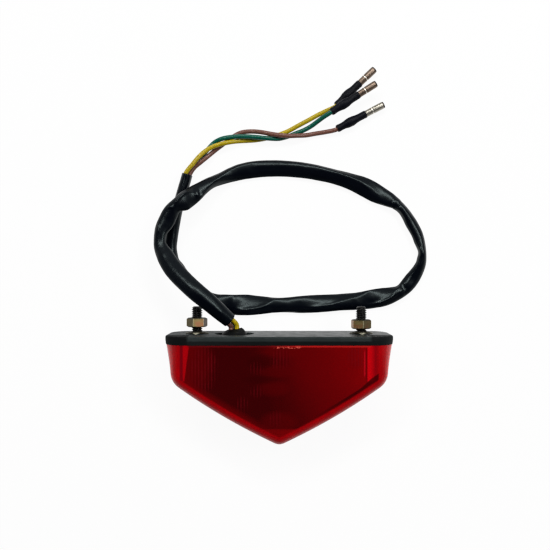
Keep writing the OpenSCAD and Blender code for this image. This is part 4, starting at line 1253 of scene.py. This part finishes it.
def section(form, n):
    """Flattened section, with corners at its edges and creases, as places across and up."""
    left, right, high, lean, crisp, ridge, crease, rise = form[1:]

    def oval(angle, lift=0.0):
        """Place on the plain oval, or lifted off it."""
        a = math.radians(angle)
        reach = left if math.cos(a) > 0 else right
        return Vector((reach * math.cos(a), high / 2 * math.sin(a) * (1 + lift)))

    corners = [(0.0, 0.0), (180.0, 0.0), (ridge % 360, RIDGE_LIFT), (crease % 360, rise)]
    corners.sort()
    ring = []
    for i in range(n):
        angle = 360 * i / n
        k = max(m for m in range(len(corners)) if corners[m][0] <= angle)
        after = corners[(k + 1) % len(corners)]
        gap = (after[0] - corners[k][0]) % 360 or 360.0
        flat = oval(*corners[k]).lerp(oval(*after), (angle - corners[k][0]) / gap)
        ring.append(oval(angle).lerp(flat, crisp * FLATTEST))
    for _ in range(3):
        ring = [(ring[i - 1] + 2 * ring[i] + ring[(i + 1) % n]) / 4 for i in range(n)]
    return [Vector((p.x, p.y + lean * p.x)) for p in ring]


def crease_rise(s, u, folds):
    """How far a crease lifts the upper wall, at a distance along the tube and a place across it."""
    lift = 0.0
    here = Vector((s, u))
    for rise, width, points in folds:
        low = min(p.x for p in points) - 3 * width
        high = max(p.x for p in points) + 3 * width
        if not low < s < high:
            continue
        whole = length_of(points)
        walked = 0.0
        for a, b in zip(points, points[1:]):
            step = b - a
            share = min(1.0, max(0.0, (here - a).dot(step) / step.length_squared))
            off = (here - a - step * share).length / width
            at = walked + share * step.length
            fade = min(6.0, whole / 3)
            ends = smoothstep(0.0, fade, at) * smoothstep(0.0, fade, whole - at)
            lift = max(lift, rise * ends * math.exp(-off * off))
            walked += step.length
    return lift


def sleeve_ring(p, t, form, s, n, inset, folds):
    """Ring of the sleeve at a place, with its creases and unevenness, or of its inside."""
    side = across(t)
    up = t.cross(side)
    ring = []
    for a, q in zip(round_places(n), section(form, n)):
        swell = 0.0
        for size, lengthwise, turns, shift in SWELLS:
            at = Vector((s * lengthwise, turns * math.cos(a), turns * math.sin(a) + shift))
            swell += size * noise.noise(at)
        if inset:
            swell = min(swell, 0.0) - inset
        q = q * (1 + swell / max(q.length, 0.01))
        top = smoothstep(0.0, 0.35, math.sin(a))
        if top > 0:
            q.y += crease_rise(s, q.x, folds) * top
        ring.append(p + side * q.x + up * q.y)
    return ring


def build_sleeve():
    """Sleeve with open mouths; returns its middle line."""
    n = 96
    line = spline([(*place, k) for k, place in enumerate(SLEEVE_ROUTE)], SLEEVE_STEP)
    forms = eased([form_at(row[3]) for row in line], 3)
    path = []
    for row, form in zip(line, forms):
        low = min(q.y for q in section(form, 24))
        path.append(Vector((row[0], row[1], row[2] - low)))
    walk = [0.0]
    for a, b in zip(path, path[1:]):
        walk.append(walk[-1] + (b - a).length)

    def walk_to(station):
        """Distance along the tube to a station."""
        return walk[min(range(len(line)), key=lambda i: abs(line[i][3] - station))]

    folds = []
    for rise, width, points in CREASES:
        folds.append((rise, width, [Vector((walk_to(k), u)) for k, u in points]))

    def ring(i, inset):
        """Ring at a point of the path."""
        return sleeve_ring(path[i], heading(path, i), forms[i], walk[i], n, inset, folds)

    # Inside of both mouths, with the outside between them
    count = len(path)
    rings = [ring(i, SLEEVE_WALL) for i in range(MOUTH_RINGS, -1, -1)]
    rings += [ring(i, 0.0) for i in range(count)]
    rings += [ring(i, SLEEVE_WALL) for i in range(count - 1, count - MOUTH_RINGS - 2, -1)]
    verts = [(p.x, p.y, max(p.z, FLOOR_GAP)) for points in rings for p in points]
    obj = add_mesh("lead_sleeve", verts, capped_faces(len(rings), n), SLEEVE_BLACK)
    put(obj, HOUSING, "sleeve_black", "cable_sleeve")
    return path


sleeve_path = build_sleeve()


def at_mouth(end, q, out, squeeze=1.0):
    """Place of a wire at a mouth of the sleeve: off its middle by q, squeezed, and out of it."""
    i, sign = (len(sleeve_path) - 1, 1) if end else (0, -1)
    t = heading(sleeve_path, i)
    side = across(t)
    place = sleeve_path[i] + squeeze * q[0] * side + squeeze * q[1] * t.cross(side)
    return place + sign * out * t


# Wires


def build_wire(name, points, color):
    """Round wire on a smooth curve through points in millimetres."""
    line = spline(points, 1.0)
    curve = bpy.data.curves.new(name, "CURVE")
    curve.dimensions = "3D"
    curve.bevel_depth = WIRE_D / 2 * MM
    curve.bevel_resolution = 8
    curve.use_fill_caps = True
    track = curve.splines.new("POLY")
    track.points.add(len(line) - 1)
    for point, place in zip(track.points, line):
        height = max(place[2], WIRE_D / 2)
        point.co = (place[0] * MM, place[1] * MM, height * MM, 1.0)
    track.use_smooth = True
    curve.materials.append(WIRE[color])
    return add_object(name, curve), [Vector(p[:3]) for p in line]


# Feed wires: place of the pad beside the outlet, of the hole in the plug, and in the sleeve's mouth
FEED = {
    "yellow": (3.5, (1.5, 1.6), (-1.3, 1.1)),
    "green": (0.0, (0.5, -1.9), (-0.6, -1.7)),
    "brown": (-3.5, (-1.8, 1.6), (1.8, 0.9)),
}

for color, (pad, hole, q) in FEED.items():
    x, z = OUTLET_X + hole[0], STUD_Z + hole[1]
    px = OUTLET_X + pad
    # From its pad on the board, through the plug and into the sleeve
    points = [
        (px, PAD_Y, BOARD_FRONT + 0.02),
        (px, PAD_Y, BOARD_FRONT + 1.6),
        (px, PAD_Y + 1.6, min(z, BOARD_FRONT + 2.6)),
        (x, RIM_Y - 2.2, z),
        (x, RIM_Y - 0.5, z),
        (x, BASE_TOP + DOME_H, z),
        (x, BASE_TOP + DOME_H + 0.6, z),
        at_mouth(0, q, 1.5),
        at_mouth(0, q, 0.3),
        at_mouth(0, q, -4.0, 0.85),
        at_mouth(0, q, -7.5, 0.75),
    ]
    wire, line = build_wire(f"{color}_lead_in", points, color)
    put(wire, HOUSING, f"wire_{color}", f"{color}_feed_wire")


# Tail wires: places between the sleeve's mouth and the boot
TAIL = {
    "yellow": [
        (-48.9, 116.3, 6.3), (-45.8, 120.3, 5.5), (-42.5, 123.5, 4.7), (-38.8, 125.9, 4.4),
        (-34.5, 127.6, 4.2), (-29.4, 128.9, 4), (-24.2, 129.9, 2.55), (-18.9, 130.4, 1.5),
        (-13.5, 130.8, 1.32), (-8.4, 131.6, 1.32), (-3.4, 132.8, 1.32), (0.6, 134.1, 1.32),
        (5.2, 135.9, 1.32), (10.3, 138.7, 1.32), (16.7, 142.1, 1.4), (23.2, 145.6, 1.6),
        (27.6, 147.6, 2.1),
    ],
    "green": [
        (-48.9, 115.9, 1.35), (-45.8, 119.7, 1.32), (-42.8, 123.1, 1.32), (-40.2, 126.3, 1.32),
        (-37.1, 129.4, 1.5), (-32.8, 131.2, 3.2), (-28.4, 131.9, 4.1), (-23.4, 132.3, 4.15),
        (-17.7, 132.3, 4.15), (-12.3, 131.9, 4.15), (-7.4, 131.4, 4.1), (-3.1, 131.2, 3.5),
        (0, 131.3, 2.95), (2.9, 132.1, 1.9), (6.1, 133.2, 1.32), (9.5, 134.6, 1.32),
        (13.9, 136.3, 1.4), (18.2, 138.5, 1.9), (22.2, 141.1, 3.6), (25.4, 143.1, 5.7),
    ],
    "brown": [
        (-48.3, 114.7, 3.9), (-45.2, 117.4, 3.6), (-41.8, 120.3, 3), (-38.5, 123.3, 1.9),
        (-35.3, 126, 1.35), (-31.3, 129, 1.32), (-27.9, 131.6, 1.32), (-24.7, 133.8, 1.32),
        (-21.8, 135.1, 1.32), (-18.5, 135.6, 1.6), (-14.2, 135.5, 2.6), (-9.1, 134.6, 4.4),
        (-4.1, 133.5, 5.3), (0.6, 132.8, 5.5), (5.2, 132.5, 4.9), (10.2, 132.9, 3.7),
        (15.3, 133.4, 2.2), (21, 134.5, 1.5), (27, 135.4, 1.9),
    ],
}

# Place of each tail wire in the sleeve's mouth
MOUTH_SPOT = {"yellow": (1.0, 2.5), "green": (0.6, -2.3), "brown": (-1.0, 0.4)}

# Boots: end at the wire, and heading in degrees
BOOT_AT = {
    "yellow": ((33.0, 150.5, BOOT_Z), 43.5),
    "green": ((29.7, 145.6, BOOT_Z + BOOT_STACK), 32.5),
    "brown": ((33.4, 137.0, BOOT_Z), 27.5),
}
# How far the wire reaches into the boot
WIRE_GRIP = 8.0


def boot_axis(color):
    """Direction of a boot, level."""
    a = math.radians(BOOT_AT[color][1])
    return Vector((math.cos(a), math.sin(a), 0.0))


def along(color, s):
    """Place at a distance along a boot's axis."""
    return Vector(BOOT_AT[color][0]) + s * boot_axis(color)


def laid_lathe(name, profile, color, mat, n, crumple=None):
    """Revolved piece along a boot's axis: (radius, distance) pairs."""
    side, up = across(boot_axis(color)), Vector((0, 0, 1))
    verts = []
    for r, s in profile:
        middle = along(color, s)
        for b in round_places(n):
            reach = r + (crumple(s, b) if crumple else 0.0)
            verts.append(middle + side * reach * math.cos(b) + up * reach * math.sin(b))
    return add_mesh(name, verts, looped_faces(len(profile), n), mat)


def build_boot(color):
    """Soft boot over the crimp: thin at the wire, swollen in the middle, open at the terminal."""
    body = [
        (1.5, 0.15), (1.96, 0.0), (2.08, 0.35), (2.08, 2.6), (2.12, 3.8), (2.26, 5.0),
        (2.5, 6.1), (2.68, 7.2), (2.74, 8.4), (2.7, 9.6), (2.55, 10.8), (2.34, 12.2),
        (2.18, 13.8), (2.17, 15.2), (2.18, 16.6), (2.2, 17.8), (2.14, 18.35), (1.95, 18.5),
    ]
    rows = spline([(s, 0.0, 0.0, r) for r, s in body], 0.45)
    inside = [(1.5, 18.4), (1.5, 8.2), (1.35, 8.0), (1.35, 0.3)]
    profile = [(row[3], row[0]) for row in rows] + inside
    seed = {"yellow": 1.0, "green": 4.0, "brown": 9.0}[color]

    def crumple(s, b):
        """Unevenness between the boot's ends."""
        if s < 0.1 or s > 18.45:
            return 0.0
        wave = noise.noise(Vector((s * 0.45, math.cos(b) * 1.3 + seed, math.sin(b) * 1.3)))
        fine = noise.noise(Vector((s * 1.6, math.cos(b) * 2.5, math.sin(b) * 2.5 + seed)))
        return min(0.02, 0.09 * wave + 0.03 * fine - 0.05)

    obj = laid_lathe(f"{color}_crimp_boot", profile, color, BOOT_BLACK, 48, crumple)
    sharpen(obj, 55)
    return put(obj, HOUSING, "boot_black", f"{color}_boot")


def build_bullet(color):
    """Rolled bullet terminal: crimp, neck, barrel with a stop ring and an open nose."""
    n, tip = 56, BOOT_L + BULLET_L
    profile = [
        (1.42, 8.3), (1.42, 17.2), (1.8, 18.3), (1.85, 18.6), (1.85, 21.8), (1.93, 22.05),
        (1.95, 22.3), (1.95, 22.75), (1.8, 22.95), (1.8, 23.2), (1.92, 23.45), (1.95, 23.7),
        (1.95, 28.6), (1.93, 29.3), (1.9, 29.45), (1.86, 29.75), (1.76, tip), (1.5, 29.95),
        (1.42, 29.6), (1.42, 25.0), (0.0005, 25.0), (0.0005, 8.3),
    ]
    # The brown wire's bullet takes the brighter copy of the tin, painted light
    mat = TINNED_BRIGHT if color == "brown" else TINNED_WARM
    obj = laid_lathe(f"{color}_bullet_terminal", profile, color, mat, n)
    # Painted shade darkens the cut edge and bore of the rolled end, and a painted highlight
    # brightens the stop ring
    bore_shade_rows, ring_highlight_rows = range(13, 21), [6]
    obj.data.materials.append(TERMINAL_BORE_SHADE)
    obj.data.materials.append(TERMINAL_RING_HIGHLIGHT)
    for face in obj.data.polygons:
        row = face.index // n
        if row in bore_shade_rows:
            face.material_index = 1
        elif row in ring_highlight_rows:
            face.material_index = 2
    sharpen(obj, 30)
    return put(obj, HOUSING, "tinned_brass", f"{color}_bullet")


for color, route in TAIL.items():
    q = MOUTH_SPOT[color]
    points = [
        at_mouth(1, q, -11.0, 0.8),
        at_mouth(1, q, -5.0, 0.9),
        at_mouth(1, q, 0.3),
        *[Vector(p) for p in route],
        along(color, -1.5),
        along(color, WIRE_GRIP),
    ]
    wire, line = build_wire(f"{color}_lead_out", points, color)
    put(wire, HOUSING, f"wire_{color}", f"{color}_tail_wire")
    boot = build_boot(color)
    bullet = build_bullet(color)


# Floor, light and camera


FLOOR_REACH, FLOOR_DROP = 4.0, 0.0002
# Share of even white in the floor as it is seen; the rest takes the light and the shadow
FLOOR_GLOW = 0.94


def build_floor():
    """White table that keeps a faint shadow, and lights the object like a plain matt sheet."""
    r = FLOOR_REACH
    mesh = bpy.data.meshes.new("floor")
    mesh.from_pydata([(-r, -r, 0), (r, -r, 0), (r, r, 0), (-r, r, 0)], [], [(0, 1, 2, 3)])
    floor = add_object("floor", mesh)
    floor.location.z = -FLOOR_DROP
    mat = bpy.data.materials.new("floor_white")
    mat.use_nodes = True
    tree = mat.node_tree
    tree.nodes.clear()
    out = tree.nodes.new("ShaderNodeOutputMaterial")
    diffuse = tree.nodes.new("ShaderNodeBsdfDiffuse")
    diffuse.inputs["Color"].default_value = (0.9, 0.9, 0.9, 1)
    glow = tree.nodes.new("ShaderNodeEmission")
    glow.inputs["Color"].default_value = (1, 1, 1, 1)
    ray = tree.nodes.new("ShaderNodeLightPath").outputs
    clear = calc("MAXIMUM", ray["Is Glossy Ray"], ray["Is Transmission Ray"])
    seen = calc("MAXIMUM", ray["Is Camera Ray"], clear)
    mix = tree.nodes.new("ShaderNodeMixShader")
    feed(mix, "Fac", calc("MULTIPLY", seen, FLOOR_GLOW))
    tree.links.new(diffuse.outputs[0], mix.inputs[1])
    tree.links.new(glow.outputs[0], mix.inputs[2])
    tree.links.new(mix.outputs[0], out.inputs["Surface"])
    mesh.materials.append(mat)


build_floor()


def build_world():
    """Pale walls under a darker ceiling, and white where the camera sees past the floor."""
    world = bpy.data.worlds.new("studio")
    scene.world = world
    world.use_nodes = True
    tree = world.node_tree
    back = tree.nodes["Background"]
    place = tree.nodes.new("ShaderNodeTexCoord").outputs["Generated"]
    walls = ramp(
        parts(place)["Z"],
        [
            (0.0, (0.45, 0.45, 0.45)),
            (0.35, (0.25, 0.25, 0.25)),
            (0.65, (0.05, 0.05, 0.05)),
            (1.0, (0.012, 0.012, 0.012)),
        ],
    )
    seen = tree.nodes.new("ShaderNodeLightPath").outputs["Is Camera Ray"]
    feed(back, "Color", blend(seen, walls, (1.0, 1.0, 1.0)))
    back.inputs["Strength"].default_value = 1.0


build_world()


# Point that the lamps face, and the arc, size and power of the keys, in metres
AIM = Vector((0, 0.05, 0))
KEY_REACH, KEY_HEIGHT, KEY_TURNS = 0.83, 1.06, (25, 75, 125)
KEY_SIZE, KEY_WATTS = (0.66, 0.2), 6.5
# Width of the photograph and its focal length in pixels, and the camera's sensor
PHOTO_W, FOCAL_PX, SENSOR = 550, 692.7, 36.0


def softbox(name, place, width, height, watts):
    """Rectangular soft light that faces the object."""
    lamp = bpy.data.lights.new(name, "AREA")
    lamp.shape = "RECTANGLE"
    lamp.size = width
    lamp.size_y = height
    lamp.energy = watts
    obj = add_object(name, lamp)
    obj.location = place
    obj.rotation_euler = (AIM - Vector(place)).to_track_quat("-Z", "Y").to_euler()


# Keys in an arc behind the object, from its right to its left, and a dim sheet of light beyond
for index, turn in enumerate(KEY_TURNS):
    a = math.radians(turn)
    place = (KEY_REACH * math.cos(a), AIM.y + KEY_REACH * math.sin(a), KEY_HEIGHT)
    softbox(f"key_{index}", place, *KEY_SIZE, KEY_WATTS)
softbox("sky", (-0.1, 1.25, 0.8), 2.4, 1.1, 1.5)

camera = bpy.data.cameras.new("photo_camera")
camera.sensor_width = SENSOR
camera.lens = SENSOR * FOCAL_PX / PHOTO_W
scene.camera = add_object("photo_camera", camera)
scene.camera.location = (-0.00225, 0.0532, 0.4)
scene.view_settings.view_transform = "Standard"
scene.cycles.filter_width = 1.35
